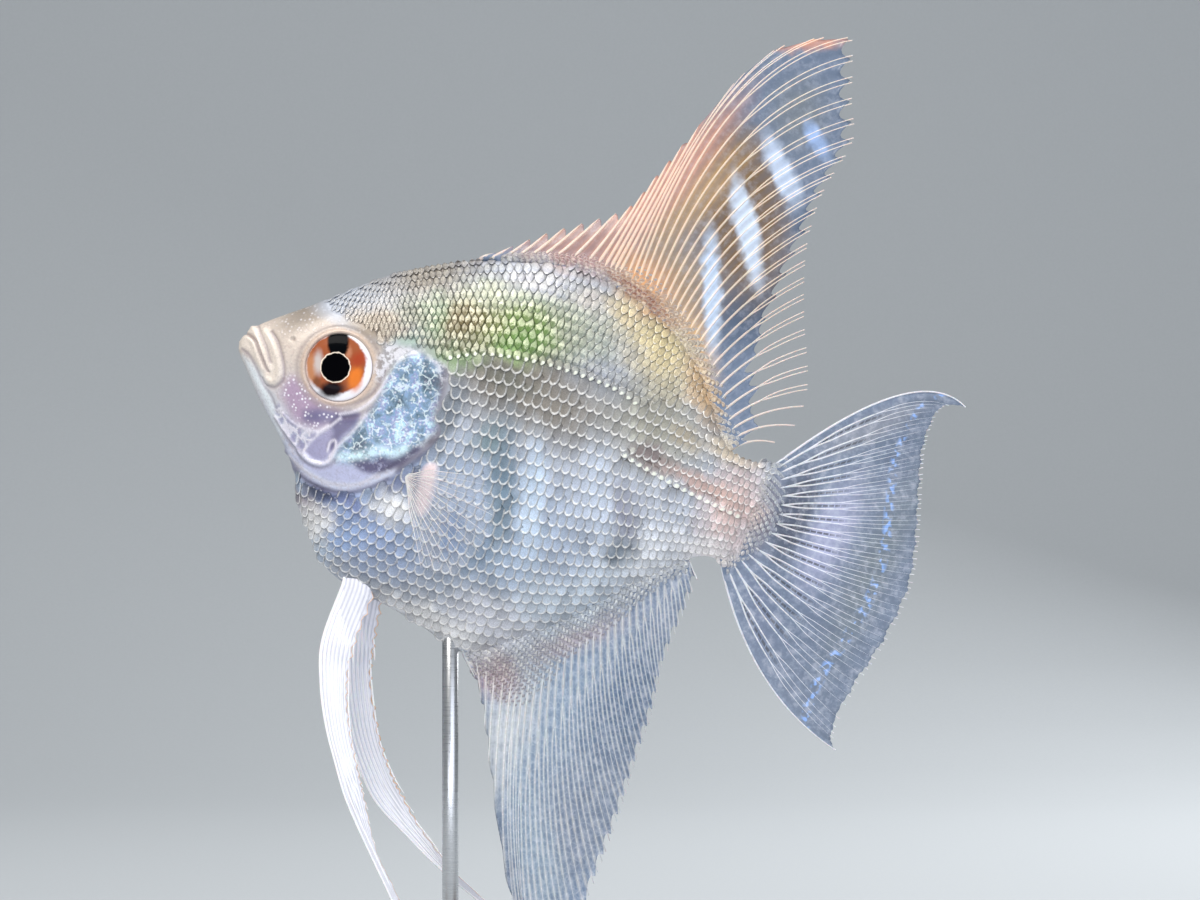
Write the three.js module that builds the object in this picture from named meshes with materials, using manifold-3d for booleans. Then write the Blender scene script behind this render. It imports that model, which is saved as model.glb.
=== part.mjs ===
// Freshwater angelfish (Pterophyllum scalare), adult, life size, a still display model on a plain stand.
// Millimetres, +Z up, origin at the centre of the underside of the stand's base.
// The fish is modelled level: a runs aft from the nose (+X), h runs up from the nose (+Z), and its left
// flank is on -Y. One group then pitches it nose-up and lifts it over the base.
import * as THREE from "three";
import { mergeVertices } from "three/addons/utils/BufferGeometryUtils.js";
import Module from "manifold-3d";

const wasm = await Module();
wasm.setup();

// Driving dimensions
const nose = -0.5; // foremost point of the lower lip; the standard length, nose to tail stem, is 80
const stemEnd = 83; // the body's loft runs a little past the tail stem's edge
const nosePoint = { x: -39.5, z: 127.8 }; // where the nose stands over the base
const pitch = THREE.MathUtils.degToRad(18); // nose up
const gap = 0.3; // between neighbouring pieces
const finGap = 0.5; // from a median fin's foot to the smooth outline, which flat facets cross a little
const medianFinThickness = { root: 1.1, margin: 0.5, rayRelief: 0.2 };
const pairedFinThickness = { root: 0.85, margin: 0.5 };
const eye = { a: 15.3, h: 1.4, y: 3.7, radius: 5, depth: 2.7 };
const rod = { x: -7.6, radius: 1.25, sink: 6 };
const base = { length: 110, width: 60, height: 10, corner: 8, chamfer: 1.2 };
const collar = { radius: 3.2, height: 2.5 };

// Body form: outline of the back and of the belly, half the width, and the level of the greatest width
const backLine = profile([
  [-0.5, 0.4], [-0.2, 1.3], [0.5, 2.7], [2, 4.1], [4.2, 5.9], [9.1, 9.7], [14.3, 14.3], [19.5, 18.2],
  [25, 21.1], [33.5, 24.6], [42.3, 27.1], [47.1, 27.4], [54, 26.1], [60.4, 23.6], [66.5, 19.5],
  [70.5, 14.9], [73.6, 10.2], [76.9, 7.4], [79.5, 7.0], [83, 8.2],
]);
const bellyLine = profile([
  [-0.5, 0.3], [-0.2, -0.9], [1.9, -3.4], [5.5, -7.4], [9.2, -10.9], [12.4, -14.4], [14, -17.1],
  [15, -19.9], [17.8, -23.6], [21.2, -27.6], [26, -30], [32.8, -31.2], [39.2, -32.6], [44.6, -34.2],
  [47.4, -34.4], [52, -31.4], [59.5, -25.6], [66.7, -18.2], [71.6, -13.2], [75.6, -9.9], [78.5, -8.9],
  [83, -10.4],
]);
const halfWidth = profile([
  [-0.5, 0.3], [0, 1.1], [1, 1.9], [2.5, 2.6], [5, 3.5], [10, 5], [15, 5.9], [22, 6.5], [32, 6.8],
  [42, 6.6], [52, 5.7], [62, 4.5], [72, 3.1], [78, 2.4], [83, 1.7],
]);
const widestLevel = profile([
  [-0.5, 0.35], [3, 0], [10, 0.5], [18, 0], [33, -4], [50, -6], [64, -2], [83, -1],
]);
const fullness = profile([[-0.5, 2], [6, 1.9], [18, 1.6], [60, 1.5], [76, 1.8], [83, 1.8]]);

// Where the body is parted, each a line of [a, h] points
const neckLine = [
  [20, 34], [23.5, 21], [27, 14], [30.6, 8.6], [33, 4.6], [33.8, 1], [33.2, -3], [30.6, -8], [27.6, -12],
  [24, -15.2], [20, -16.5], [16, -16.2], [13.2, -15.2], [10.6, -13.9], [6, -12.6],
];
const gillFront = [
  [30, 10], [26.4, 8.6], [23.3, 6.2], [22, 3], [22.6, -0.5], [21.6, -4.2], [20.4, -7.8], [19, -12],
  [17.2, -13.3], [14.6, -13.1], [12.8, -13.6], [10.5, -14.6],
];
const jawsLine = [
  [1.2, 6.5], [2.3, 3.4], [4.5, 1.2], [7.2, -2.2], [8, -4.4], [8.8, -7.2], [7.4, -10.2], [5.6, -12],
];
const upperLip = [[-3, 3.6], [0.5, 2.3], [2.1, 1.5], [3.4, 0], [5.4, -2.2], [7, -4], [10, -6.4]];
const lowerLip = [[-3, 1.2], [0.3, 1.2], [1.8, 1], [3, -0.3], [5.1, -2.5], [6.7, -4.3], [10, -7]];
const tailLine = [[71.4, 40], [72.2, 12], [72.6, 0], [72.2, -12], [71.4, -40]];
const gillDepth = 3.9; // the gill covers are the flesh beyond this half width

// Rays of each median fin: [ray, tip a, tip h, lean in degrees at the base, how far the bend reaches]
const dorsal = {
  rays: 40,
  foot: profile([[0, 31], [13, 51.2], [14, 52.7], [39, 76.4]]),
  plan: rayPlan([
    [0, 32.6, 25.4, 45, 0.35], [3, 39, 30.7, 52, 0.4], [6, 46, 35.4, 60, 0.45], [8, 50, 38.7, 66, 0.5],
    [10, 52.3, 44.2, 73, 0.5], [13, 56.2, 53.8, 82, 0.5], [14, 59.8, 62.4, 86, 0.6],
    [15, 64.2, 68.7, 88, 0.68], [16, 69.5, 71.9, 90, 0.72], [17, 74.1, 73.3, 90, 0.73],
    [18, 75.3, 70.5, 89, 0.7], [20, 77.2, 64.2, 87, 0.66], [22, 79.2, 58.5, 84, 0.6],
    [25, 77.3, 49.5, 80, 0.55], [28, 77.5, 41, 76, 0.5], [32, 80.3, 31, 68, 0.5],
    [36, 84.3, 20.6, 60, 0.5], [38, 84.3, 14.4, 55, 0.5], [39, 82.2, 11, 50, 0.5],
  ]),
  sway: (ray, t) => 1.6 * t * t * Math.sin(ray * 0.16 + 0.5),
  notch: (ray) => (ray < 14 ? 1.2 : 1.2 + 0.08 * Math.max(0, ray - 24)),
};
const anal = {
  rays: 32,
  foot: profile([[0, 47.3], [5, 54.2], [6, 55], [31, 75.4]]),
  plan: rayPlan([
    [0, 49.6, -37.2, -48, 0.4], [1, 51.6, -40.4, -62, 0.45], [2, 53.4, -44, -72, 0.5],
    [3, 55.6, -48.8, -78, 0.5], [4, 58.6, -55.2, -80, 0.5], [5, 63.4, -64.6, -82, 0.52],
    [6, 67.4, -70.8, -82, 0.55], [7, 72.7, -78.5, -82, 0.56], [8, 80.8, -91.2, -82, 0.56],
    [9, 78.2, -83.5, -82, 0.55], [10, 76.9, -77.3, -81, 0.55], [12, 76.4, -69, -80, 0.52],
    [14, 76.8, -61, -79, 0.5], [17, 77.2, -51, -78, 0.5], [20, 77.2, -42.5, -76, 0.5],
    [23, 77.2, -34, -74, 0.5], [26, 76.4, -26.5, -70, 0.5], [29, 77, -18, -62, 0.5],
    [31, 77.3, -12.6, -52, 0.5],
  ]),
  sway: (ray, t) => -1.4 * t * t * Math.sin(ray * 0.2 + 0.9),
  notch: (ray) => (ray < 6 ? 1.6 : 1),
};
const caudal = {
  rays: 17,
  plan: rayPlan([
    [0, 108.2, 25.1, 60, 0.62], [1, 104.9, 24, 50, 0.55], [3, 104.3, 18.2, 32, 0.5],
    [5, 105.6, 12.4, 20, 0.5], [8, 108, 3, 2, 0.5], [10, 108.9, -4.2, -12, 0.5],
    [12, 107.7, -12.8, -26, 0.5], [14, 105.2, -21.8, -44, 0.52], [15, 104.3, -28, -52, 0.56],
    [16, 105.4, -30.8, -60, 0.6],
  ]),
  sway: (ray, t) => 1.5 * t * t * Math.sin(ray * 0.33 - 0.4),
  notch: () => 0.8,
};
const tailEdge = (h) => 81.6 + 0.17 * h; // the slanted end of the tail stem
const tailRoot = { top: 7.6, bottom: -9.6 };

// Pelvic fins: the fore and rear edges of each blade, down to the end of its streamer
const pelvicLeft = {
  fore: [
    [26.2, -29.8], [25.9, -39], [27.6, -45], [30.2, -50.6], [33.6, -56], [37.1, -61], [42.8, -67.3],
    [48.7, -73.6], [61, -87.6],
  ],
  rear: [
    [31.4, -30.7], [31, -39], [32.2, -45.6], [35, -51.8], [38, -57], [39.9, -60.2], [43.8, -66.8],
    [49.6, -73], [61.2, -87.4],
  ],
  reach: -4.6, // where the streamer ends, sideways
};
const pelvicRight = {
  fore: [
    [27.4, -30], [28.4, -38.4], [30.4, -45], [33.6, -51.6], [37.6, -57.2], [41.2, -60.9], [47, -64.2],
    [56, -68.6], [78.2, -76.8],
  ],
  rear: [
    [32.8, -30.9], [33.6, -37], [34.8, -42.8], [38.6, -50.6], [42.2, -55.6], [45, -58.6], [50.2, -63.4],
    [59.4, -69], [78.4, -76.4],
  ],
  reach: 5.6,
};
const pelvicFoot = 1.3; // how far each blade's foot stands from the midline
const pectoral = {
  rays: 9,
  foot: { a: 31.8, h: -12.2, span: 5.2 },
  spread: [10, -52], // degrees from the upper ray to the lower one
  length: profile([[0, 12.5], [2, 16.5], [4, 17], [6, 15.5], [8, 11]]),
  flare: THREE.MathUtils.degToRad(32), // swung out from the flank
  clear: 0.7, // from the flank to the middle of the fin's foot
};

// A smooth function through [x, y] knots
function profile(knots) {
  const last = knots.length - 1;
  const slope = knots.map((knot, i) => {
    const before = knots[Math.max(i - 1, 0)];
    const after = knots[Math.min(i + 1, last)];
    return (after[1] - before[1]) / (after[0] - before[0]);
  });
  return (x) => {
    let i = 1;
    while (i < last && x > knots[i][0]) i += 1;
    const [x0, y0] = knots[i - 1];
    const [x1, y1] = knots[i];
    const w = x1 - x0;
    const t = THREE.MathUtils.clamp((x - x0) / w, 0, 1);
    const s = 1 - t;
    const level = s * s * (1 + 2 * t) * y0 + t * t * (3 - 2 * t) * y1;
    return level + w * t * s * (s * slope[i - 1] - t * slope[i]);
  };
}

// The tip, lean and bend of any ray, also between two rays
function rayPlan(rows) {
  const column = (n) => profile(rows.map((row) => [row[0], row[n]]));
  const [tipA, tipH, lean, bend] = [1, 2, 3, 4].map(column);
  return (ray) => ({
    tip: new THREE.Vector2(tipA(ray), tipH(ray)),
    lean: THREE.MathUtils.degToRad(lean(ray)),
    bend: bend(ray),
  });
}

// Half the body's width at a level h of the section at a
function flank(a, h) {
  const middle = widestLevel(a);
  const reach = h > middle ? backLine(a) - middle : middle - bellyLine(a);
  const t = Math.min(1, Math.abs(h - middle) / reach);
  return halfWidth(a) * (1 - t * t) ** (1 / fullness(a));
}

function geometryOf(points, faces) {
  const geometry = new THREE.BufferGeometry();
  geometry.setAttribute("position", new THREE.Float32BufferAttribute(points.flat(), 3));
  geometry.setIndex(faces.flat());
  return geometry;
}

// The same closed surface with its faces turned outwards, whichever way its grid ran
function facingOut(geometry) {
  const { position } = geometry.attributes;
  const corners = [new THREE.Vector3(), new THREE.Vector3(), new THREE.Vector3()];
  let volume = 0;
  for (let i = 0; i < geometry.index.count; i += 3) {
    corners.forEach((corner, n) => corner.fromBufferAttribute(position, geometry.index.getX(i + n)));
    volume += corners[0].dot(corners[1].cross(corners[2]));
  }
  if (volume < 0) geometry.index.array.reverse();
  return geometry;
}

// manifold-3d joins and cuts; these two go from a three.js geometry to a solid and back
function solidOf(geometry) {
  const bare = geometry.clone();
  bare.deleteAttribute("normal");
  bare.deleteAttribute("uv");
  const merged = mergeVertices(bare, 1e-4);
  const mesh = new wasm.Mesh({
    numProp: 3,
    vertProperties: new Float32Array(merged.attributes.position.array),
    triVerts: new Uint32Array(merged.index.array),
  });
  return new wasm.Manifold(mesh);
}

function geometryFrom(solid) {
  const { vertProperties, triVerts } = solid.getMesh();
  const geometry = new THREE.BufferGeometry();
  geometry.setAttribute("position", new THREE.Float32BufferAttribute(vertProperties, 3));
  geometry.setIndex([...triVerts]);
  geometry.computeVertexNormals();
  return geometry;
}

// The whole body as one closed loft of oval rings, from the nose to past the tail stem's edge
function wholeBody() {
  const rings = 34;
  const around = 24;
  const points = [[nose, 0, widestLevel(nose)]];
  const faces = [];
  for (let i = 1; i <= rings; i += 1) {
    const a = nose + (stemEnd - nose) * (i / rings) ** 1.5; // closest together at the mouth
    const middle = widestLevel(a);
    for (let j = 0; j < around; j += 1) {
      const turn = (2 * Math.PI * j) / around;
      const rise = Math.sin(turn);
      const side = Math.cos(turn);
      const reach = rise > 0 ? backLine(a) - middle : middle - bellyLine(a);
      const y = -Math.sign(side) * halfWidth(a) * Math.abs(side) ** (2 / fullness(a));
      points.push([a, y, middle + reach * rise]);
    }
  }
  const at = (ring, j) => 1 + ring * around + (j % around);
  for (let j = 0; j < around; j += 1) {
    faces.push([0, at(0, j), at(0, j + 1)]);
    for (let ring = 0; ring < rings - 1; ring += 1) {
      faces.push([at(ring, j), at(ring + 1, j), at(ring + 1, j + 1)]);
      faces.push([at(ring, j), at(ring + 1, j + 1), at(ring, j + 1)]);
    }
  }
  for (let j = 1; j < around - 1; j += 1) {
    faces.push([at(rings - 1, 0), at(rings - 1, j + 1), at(rings - 1, j)]);
  }
  return solidOf(geometryOf(points, faces));
}

// A block with the side outline [a, h] points, reaching across the fish from y0 to y1
function block(outline, y0 = -20, y1 = 20) {
  const shape = new THREE.Shape(outline.map(([a, h]) => new THREE.Vector2(a, h)));
  const geometry = new THREE.ExtrudeGeometry(shape, { depth: y1 - y0, bevelEnabled: false });
  geometry.rotateX(Math.PI / 2);
  geometry.translate(0, y1, 0);
  return solidOf(geometry);
}

// A line moved sideways by a distance, to the left of its direction when positive
function beside(line, distance) {
  return line.map(([a, h], i) => {
    const before = line[Math.max(i - 1, 0)];
    const after = line[Math.min(i + 1, line.length - 1)];
    const along = new THREE.Vector2(after[0] - before[0], after[1] - before[1]).normalize();
    return [a - along.y * distance, h + along.x * distance];
  });
}

function eyeBall(grow) {
  const geometry = new THREE.SphereGeometry(1, 14, 9);
  const radius = eye.radius + grow;
  geometry.scale(radius, eye.depth + grow, radius);
  return geometry;
}

function eyeSocket(side) {
  const geometry = eyeBall(gap);
  geometry.translate(eye.a, side * eye.y, eye.h);
  return solidOf(geometry);
}

// A vertical bore for the rod, in the fish's level frame
function rodBore() {
  const top = standPoint(rod.x, bellyOver(rod.x) + rod.sink + gap);
  const length = 30;
  const bore = new THREE.CylinderGeometry(rod.radius + gap, rod.radius + gap, length, 16);
  bore.rotateX(Math.PI / 2);
  bore.translate(0, 0, -length / 2);
  bore.rotateY(-pitch);
  bore.translate(top.x, 0, top.y);
  return solidOf(bore);
}

// The flesh, parted into head, jaws, gill covers, trunk and tail stem. Each region is a line of the body,
// moved by half the gap, and closed far outside it.
function bodyPieces() {
  const body = wholeBody();
  const aheadOfNeck = block([...beside(neckLine, -gap / 2), [-20, -12.6], [-20, 34]]);
  const behindNeck = block([...beside(neckLine, gap / 2), [6, -50], [100, -50], [100, 34]]);
  const aheadOfTail = block([...beside(tailLine, -gap / 2), [0, -40], [0, 40]]);
  const behindTail = block([...beside(tailLine, gap / 2), [90, -40], [90, 40]]);
  const aheadOfFin = block([[60, 20], [tailEdge(20), 20], [tailEdge(-20), -20], [60, -20]]);
  const muzzle = (shift) => block([...beside(jawsLine, shift), [-8, -12], [-8, 6.5]]);
  const aboveMouth = block([...upperLip, [10, 10], [-3, 10]]);
  const belowMouth = block([...lowerLip, [10, -14], [-3, -14]]);
  const gillSide = (side, depth, shift) => {
    const outline = [...beside(gillFront, shift), [10.5, -22], [40, -22], [40, 10]];
    return side < 0 ? block(outline, -20, -depth) : block(outline, depth, 20);
  };

  const face = body.intersect(aheadOfNeck).subtract(eyeSocket(-1)).subtract(eyeSocket(1));
  const jaws = face.intersect(muzzle(-gap / 2));
  const rear = body.intersect(behindNeck);
  return {
    head: face
      .subtract(muzzle(gap / 2))
      .subtract(gillSide(-1, gillDepth - gap, -gap / 2))
      .subtract(gillSide(1, gillDepth - gap, -gap / 2)),
    jaw_upper: jaws.intersect(aboveMouth),
    jaw_lower: jaws.intersect(belowMouth),
    gill_cover_left: face.intersect(gillSide(-1, gillDepth, gap / 2)),
    gill_cover_right: face.intersect(gillSide(1, gillDepth, gap / 2)),
    trunk: rear.intersect(aheadOfTail).subtract(rodBore()),
    tail_stem: rear.intersect(behindTail).intersect(aheadOfFin),
  };
}

// A point over the base, given in the stand's frame, as level [a, h] of the fish
function standPoint(x, z) {
  const dx = x - nosePoint.x;
  const dz = z - nosePoint.z;
  return new THREE.Vector2(
    dx * Math.cos(pitch) - dz * Math.sin(pitch),
    dx * Math.sin(pitch) + dz * Math.cos(pitch),
  );
}

// The height of the pitched belly over a place on the base
function bellyOver(x) {
  let z = 0;
  for (let a = nose; a < stemEnd; a += 0.05) {
    const h = bellyLine(a);
    if (nosePoint.x + a * Math.cos(pitch) + h * Math.sin(pitch) <= x) {
      z = nosePoint.z - a * Math.sin(pitch) + h * Math.cos(pitch);
    }
  }
  return z;
}

// A closed thin solid over a grid of places; place(u, t) gives [x, y, z, half thickness], u across, t outwards
function blade(columns, rows, place) {
  const points = [];
  const faces = [];
  for (const side of [-1, 1]) {
    for (let i = 0; i <= columns; i += 1) {
      for (let j = 0; j <= rows; j += 1) {
        const [x, y, z, half] = place(i, j / rows);
        points.push([x, y + side * half, z]);
      }
    }
  }
  const sheet = (columns + 1) * (rows + 1);
  const near = (i, j) => i * (rows + 1) + j;
  const far = (i, j) => sheet + near(i, j);
  const quad = (p, q, r, s) => faces.push([p, q, r], [p, r, s]);
  for (let i = 0; i < columns; i += 1) {
    for (let j = 0; j < rows; j += 1) {
      quad(near(i, j), near(i + 1, j), near(i + 1, j + 1), near(i, j + 1));
      quad(far(i, j), far(i, j + 1), far(i + 1, j + 1), far(i + 1, j));
    }
    quad(near(i, 0), far(i, 0), far(i + 1, 0), near(i + 1, 0));
    quad(near(i, rows), near(i + 1, rows), far(i + 1, rows), far(i, rows));
  }
  for (let j = 0; j < rows; j += 1) {
    quad(near(0, j), near(0, j + 1), far(0, j + 1), far(0, j));
    quad(near(columns, j), far(columns, j), far(columns, j + 1), near(columns, j + 1));
  }
  return facingOut(geometryOf(points, faces));
}

// A median fin: its rays run to their tips, and the membrane between two of them ends in a notch
function medianFin(fin, rows, footOf) {
  return blade(2 * (fin.rays - 1), rows, (i, t) => {
    const ray = i / 2;
    const { tip, lean, bend } = fin.plan(ray);
    const foot = footOf(ray);
    const reach = foot.distanceTo(tip);
    const isRay = i % 2 === 0;
    const s = isRay ? t : t * Math.max(0.5, 1 - fin.notch(ray) / reach);
    const start = new THREE.Vector2(Math.cos(lean), Math.sin(lean));
    const elbow = start.multiplyScalar(bend * reach).add(foot);
    const curve = new THREE.QuadraticBezierCurve(foot, elbow, tip);
    const { x, y } = curve.getPoint(s);
    const { root, margin, rayRelief } = medianFinThickness;
    const thickness = root + (margin - root) * s + (isRay ? rayRelief * (1 - s) : 0);
    return [x, fin.sway(ray, s), y, thickness / 2];
  });
}

const backFoot = (ray) => {
  const a = dorsal.foot(ray);
  return new THREE.Vector2(a, backLine(a) + finGap);
};
const bellyFoot = (ray) => {
  const a = anal.foot(ray);
  return new THREE.Vector2(a, bellyLine(a) - finGap);
};
const stemFoot = (ray) => {
  const h = THREE.MathUtils.lerp(tailRoot.top, tailRoot.bottom, ray / (caudal.rays - 1));
  return new THREE.Vector2(tailEdge(h) + gap, h);
};

function pairedFinHalf(t) {
  const { root, margin } = pairedFinThickness;
  return THREE.MathUtils.lerp(root, margin, t) / 2;
}

function pelvicFin(fin) {
  const side = Math.sign(fin.reach);
  const fore = new THREE.SplineCurve(fin.fore.map(([a, h]) => new THREE.Vector2(a, h)));
  const rear = new THREE.SplineCurve(fin.rear.map(([a, h]) => new THREE.Vector2(a, h)));
  const columns = 5;
  return blade(columns, 14, (i, t) => {
    const point = fore.getPoint(t).lerp(rear.getPoint(t), i / columns);
    const y = side * pelvicFoot + (fin.reach - side * pelvicFoot) * (1 - (1 - t) ** 2);
    return [point.x, y, point.y, pairedFinHalf(t)];
  });
}

// The left pectoral fin, flat, its foot at the origin, spreading along +X
function pectoralFin() {
  const { rays, foot, spread, length } = pectoral;
  return blade(2 * (rays - 1), 3, (i, t) => {
    const ray = i / 2;
    const along = ray / (rays - 1);
    const angle = THREE.MathUtils.degToRad(THREE.MathUtils.lerp(spread[0], spread[1], along));
    const notch = 0.5 * (i % 2);
    const reach = t * (length(ray) - notch);
    const z = foot.span * (0.5 - along) + reach * Math.sin(angle);
    return [reach * Math.cos(angle), -0.8 * t * t, z, pairedFinHalf(t)];
  });
}

function baseSlab() {
  const { length, width, height, corner, chamfer } = base;
  const x = length / 2 - chamfer;
  const y = width / 2 - chamfer;
  const shape = new THREE.Shape();
  shape.moveTo(-x + corner, -y);
  shape.lineTo(x - corner, -y).quadraticCurveTo(x, -y, x, -y + corner);
  shape.lineTo(x, y - corner).quadraticCurveTo(x, y, x - corner, y);
  shape.lineTo(-x + corner, y).quadraticCurveTo(-x, y, -x, y - corner);
  shape.lineTo(-x, -y + corner).quadraticCurveTo(-x, -y, -x + corner, -y);
  const slab = new THREE.ExtrudeGeometry(shape, {
    depth: height - 2 * chamfer,
    bevelThickness: chamfer,
    bevelSize: chamfer,
    bevelSegments: 1,
    curveSegments: 5,
  });
  slab.translate(0, 0, chamfer);
  const ring = new THREE.CylinderGeometry(collar.radius, collar.radius, collar.height + 1, 20);
  ring.rotateX(Math.PI / 2);
  ring.translate(rod.x, 0, height + (collar.height - 1) / 2);
  const hole = new THREE.CylinderGeometry(rod.radius + gap, rod.radius + gap, 20, 16);
  hole.rotateX(Math.PI / 2);
  hole.translate(rod.x, 0, height / 2 + 10);
  return geometryFrom(solidOf(slab).add(solidOf(ring)).subtract(solidOf(hole)));
}

function rodBar() {
  const foot = base.height / 2 + gap;
  const top = bellyOver(rod.x) + rod.sink;
  const geometry = new THREE.CylinderGeometry(rod.radius, rod.radius, top - foot, 16);
  geometry.rotateX(Math.PI / 2);
  geometry.translate(rod.x, 0, (foot + top) / 2);
  return geometry;
}

// Finishes
function finish(color, roughness, metalness = 0) {
  return new THREE.MeshStandardMaterial({ color, roughness, metalness });
}
const scaledSkin = finish(0xa9a7b4, 0.35);
const faceSkin = finish(0xd8cdbf, 0.4);
const gillSkin = finish(0x5f7f97, 0.3);
const lipSkin = finish(0xe6dfd3, 0.45);
const finMembrane = finish(0x9fb0c8, 0.4);
const eyeGloss = finish(0xc9622a, 0.08);
const darkWood = finish(0x3a2a20, 0.5);
const steel = finish(0xb8bcc0, 0.3, 1);

function piece(name, geometry, material) {
  const mesh = new THREE.Mesh(geometry, material);
  mesh.name = name;
  return mesh;
}

const fish = new THREE.Group();
fish.position.set(nosePoint.x, 0, nosePoint.z);
fish.rotation.y = pitch;

const flesh = bodyPieces();
const fleshSkin = {
  head: faceSkin,
  jaw_upper: lipSkin,
  jaw_lower: lipSkin,
  gill_cover_left: gillSkin,
  gill_cover_right: gillSkin,
  trunk: scaledSkin,
  tail_stem: scaledSkin,
};
for (const [name, material] of Object.entries(fleshSkin)) {
  fish.add(piece(name, geometryFrom(flesh[name]), material));
}

fish.add(piece("fin_dorsal", medianFin(dorsal, 5, backFoot), finMembrane));
fish.add(piece("fin_anal", medianFin(anal, 4, bellyFoot), finMembrane));
fish.add(piece("fin_tail", medianFin(caudal, 5, stemFoot), finMembrane));
fish.add(piece("fin_pelvic_left", pelvicFin(pelvicLeft), finMembrane));
fish.add(piece("fin_pelvic_right", pelvicFin(pelvicRight), finMembrane));

for (const [word, side] of [["left", -1], ["right", 1]]) {
  const ball = piece("eye_" + word, eyeBall(0), eyeGloss);
  ball.position.set(eye.a, side * eye.y, eye.h);
  fish.add(ball);

  const fin = piece("fin_pectoral_" + word, pectoralFin(), finMembrane);
  const { a, h } = pectoral.foot;
  fin.position.set(a, side * (flank(a, h) + gap + pectoral.clear), h);
  fin.rotation.z = side * pectoral.flare;
  fin.scale.y = -side;
  fish.add(fin);
}

const model = new THREE.Group();
model.add(fish);
model.add(piece("stand_base", baseSlab(), darkWood));
model.add(piece("stand_rod", rodBar(), steel));

export default model;
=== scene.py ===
# Freshwater angelfish, a life-size display model: skin, scales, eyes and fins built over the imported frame.
# The fish is worked out level, in millimetres: a runs aft from the nose, h up from it and y to its right.
import itertools
import math

import bpy
import numpy as np
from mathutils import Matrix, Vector


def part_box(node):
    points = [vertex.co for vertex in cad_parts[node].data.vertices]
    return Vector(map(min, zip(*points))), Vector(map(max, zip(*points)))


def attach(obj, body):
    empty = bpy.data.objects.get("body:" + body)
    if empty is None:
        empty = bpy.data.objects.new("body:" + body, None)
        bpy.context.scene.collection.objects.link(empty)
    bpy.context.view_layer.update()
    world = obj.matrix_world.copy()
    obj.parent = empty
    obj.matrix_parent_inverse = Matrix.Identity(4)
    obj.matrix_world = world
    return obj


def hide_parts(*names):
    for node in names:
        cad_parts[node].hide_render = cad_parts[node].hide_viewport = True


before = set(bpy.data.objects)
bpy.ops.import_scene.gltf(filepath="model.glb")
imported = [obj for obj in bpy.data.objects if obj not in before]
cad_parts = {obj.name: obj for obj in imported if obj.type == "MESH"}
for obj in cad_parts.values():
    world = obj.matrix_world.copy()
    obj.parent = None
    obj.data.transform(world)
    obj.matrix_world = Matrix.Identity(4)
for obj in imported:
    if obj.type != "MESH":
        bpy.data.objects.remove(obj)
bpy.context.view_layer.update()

mm = 0.001
rng = np.random.default_rng(20)


def curveThrough(knots):  # a smooth function through (x, y) knots
    x, y = np.array(knots, float).T
    slope = np.empty_like(y)
    slope[1:-1] = (y[2:] - y[:-2]) / (x[2:] - x[:-2])
    slope[0] = (y[1] - y[0]) / (x[1] - x[0])
    slope[-1] = (y[-1] - y[-2]) / (x[-1] - x[-2])

    def at(value):
        v = np.clip(np.asarray(value, float), x[0], x[-1])
        i = np.clip(np.searchsorted(x, v) - 1, 0, len(x) - 2)
        w = x[i + 1] - x[i]
        t = (v - x[i]) / w
        s = 1 - t
        bend = w * t * s * (s * slope[i] - t * slope[i + 1])
        return s * s * (1 + 2 * t) * y[i] + t * t * (3 - 2 * t) * y[i + 1] + bend

    return at


def smooth(low, high, value):  # 0 below low, 1 above high, eased between
    t = np.clip((value - low) / (high - low), 0, 1)
    return t * t * (3 - 2 * t)


def fromLine(line, a, h):  # distance to a polyline
    best = np.full(np.shape(a), 1e9)
    for (a0, h0), (a1, h1) in zip(line[:-1], line[1:]):
        da, dh = a1 - a0, h1 - h0
        t = np.clip(((a - a0) * da + (h - h0) * dh) / (da * da + dh * dh), 0, 1)
        best = np.minimum(best, np.hypot(a - a0 - t * da, h - h0 - t * dh))
    return best


def within(outline, a, h):  # signed distance to a closed outline, positive inside
    inside = np.zeros(np.shape(a), bool)
    closed = list(outline) + [outline[0]]
    for (a0, h0), (a1, h1) in zip(closed[:-1], closed[1:]):
        if h0 != h1:
            crosses = (h0 > h) != (h1 > h)
            inside ^= crosses & (a < (a1 - a0) * (h - h0) / (h1 - h0) + a0)
    return np.where(inside, 1, -1) * fromLine(closed, a, h)


def rounded(line, steps=6):  # the same line with its corners eased (Catmull-Rom)
    p = np.array(line, float)
    p = np.vstack([2 * p[0] - p[1], p, 2 * p[-1] - p[-2]])
    t = (np.arange(steps) / steps)[:, None]
    out = []
    for p0, p1, p2, p3 in zip(p[:-3], p[1:-2], p[2:-1], p[3:]):
        out.append(0.5 * (2 * p1 + (p2 - p0) * t + (2 * p0 - 5 * p1 + 4 * p2 - p3) * t**2
                          + (3 * p1 - p0 - 3 * p2 + p3) * t**3))
    return np.vstack(out + [p[-2:-1]])


def roundedOutline(outline):
    return rounded(list(outline) + [outline[0]])[:-1]


def unit(vectors):
    return vectors / np.maximum(np.linalg.norm(vectors, axis=-1, keepdims=True), 1e-9)


def alongLine(line):  # how far along a line each of its points is
    return np.concatenate([[0], np.cumsum(np.hypot(*np.diff(line, axis=0).T))])


def tint(code):  # sRGB hex to linear colour
    def linear(c):
        return c / 12.92 if c <= 0.04045 else ((c + 0.055) / 1.055) ** 2.4
    return (*(linear(int(code[i:i + 2], 16) / 255) for i in (1, 3, 5)), 1.0)


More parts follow.
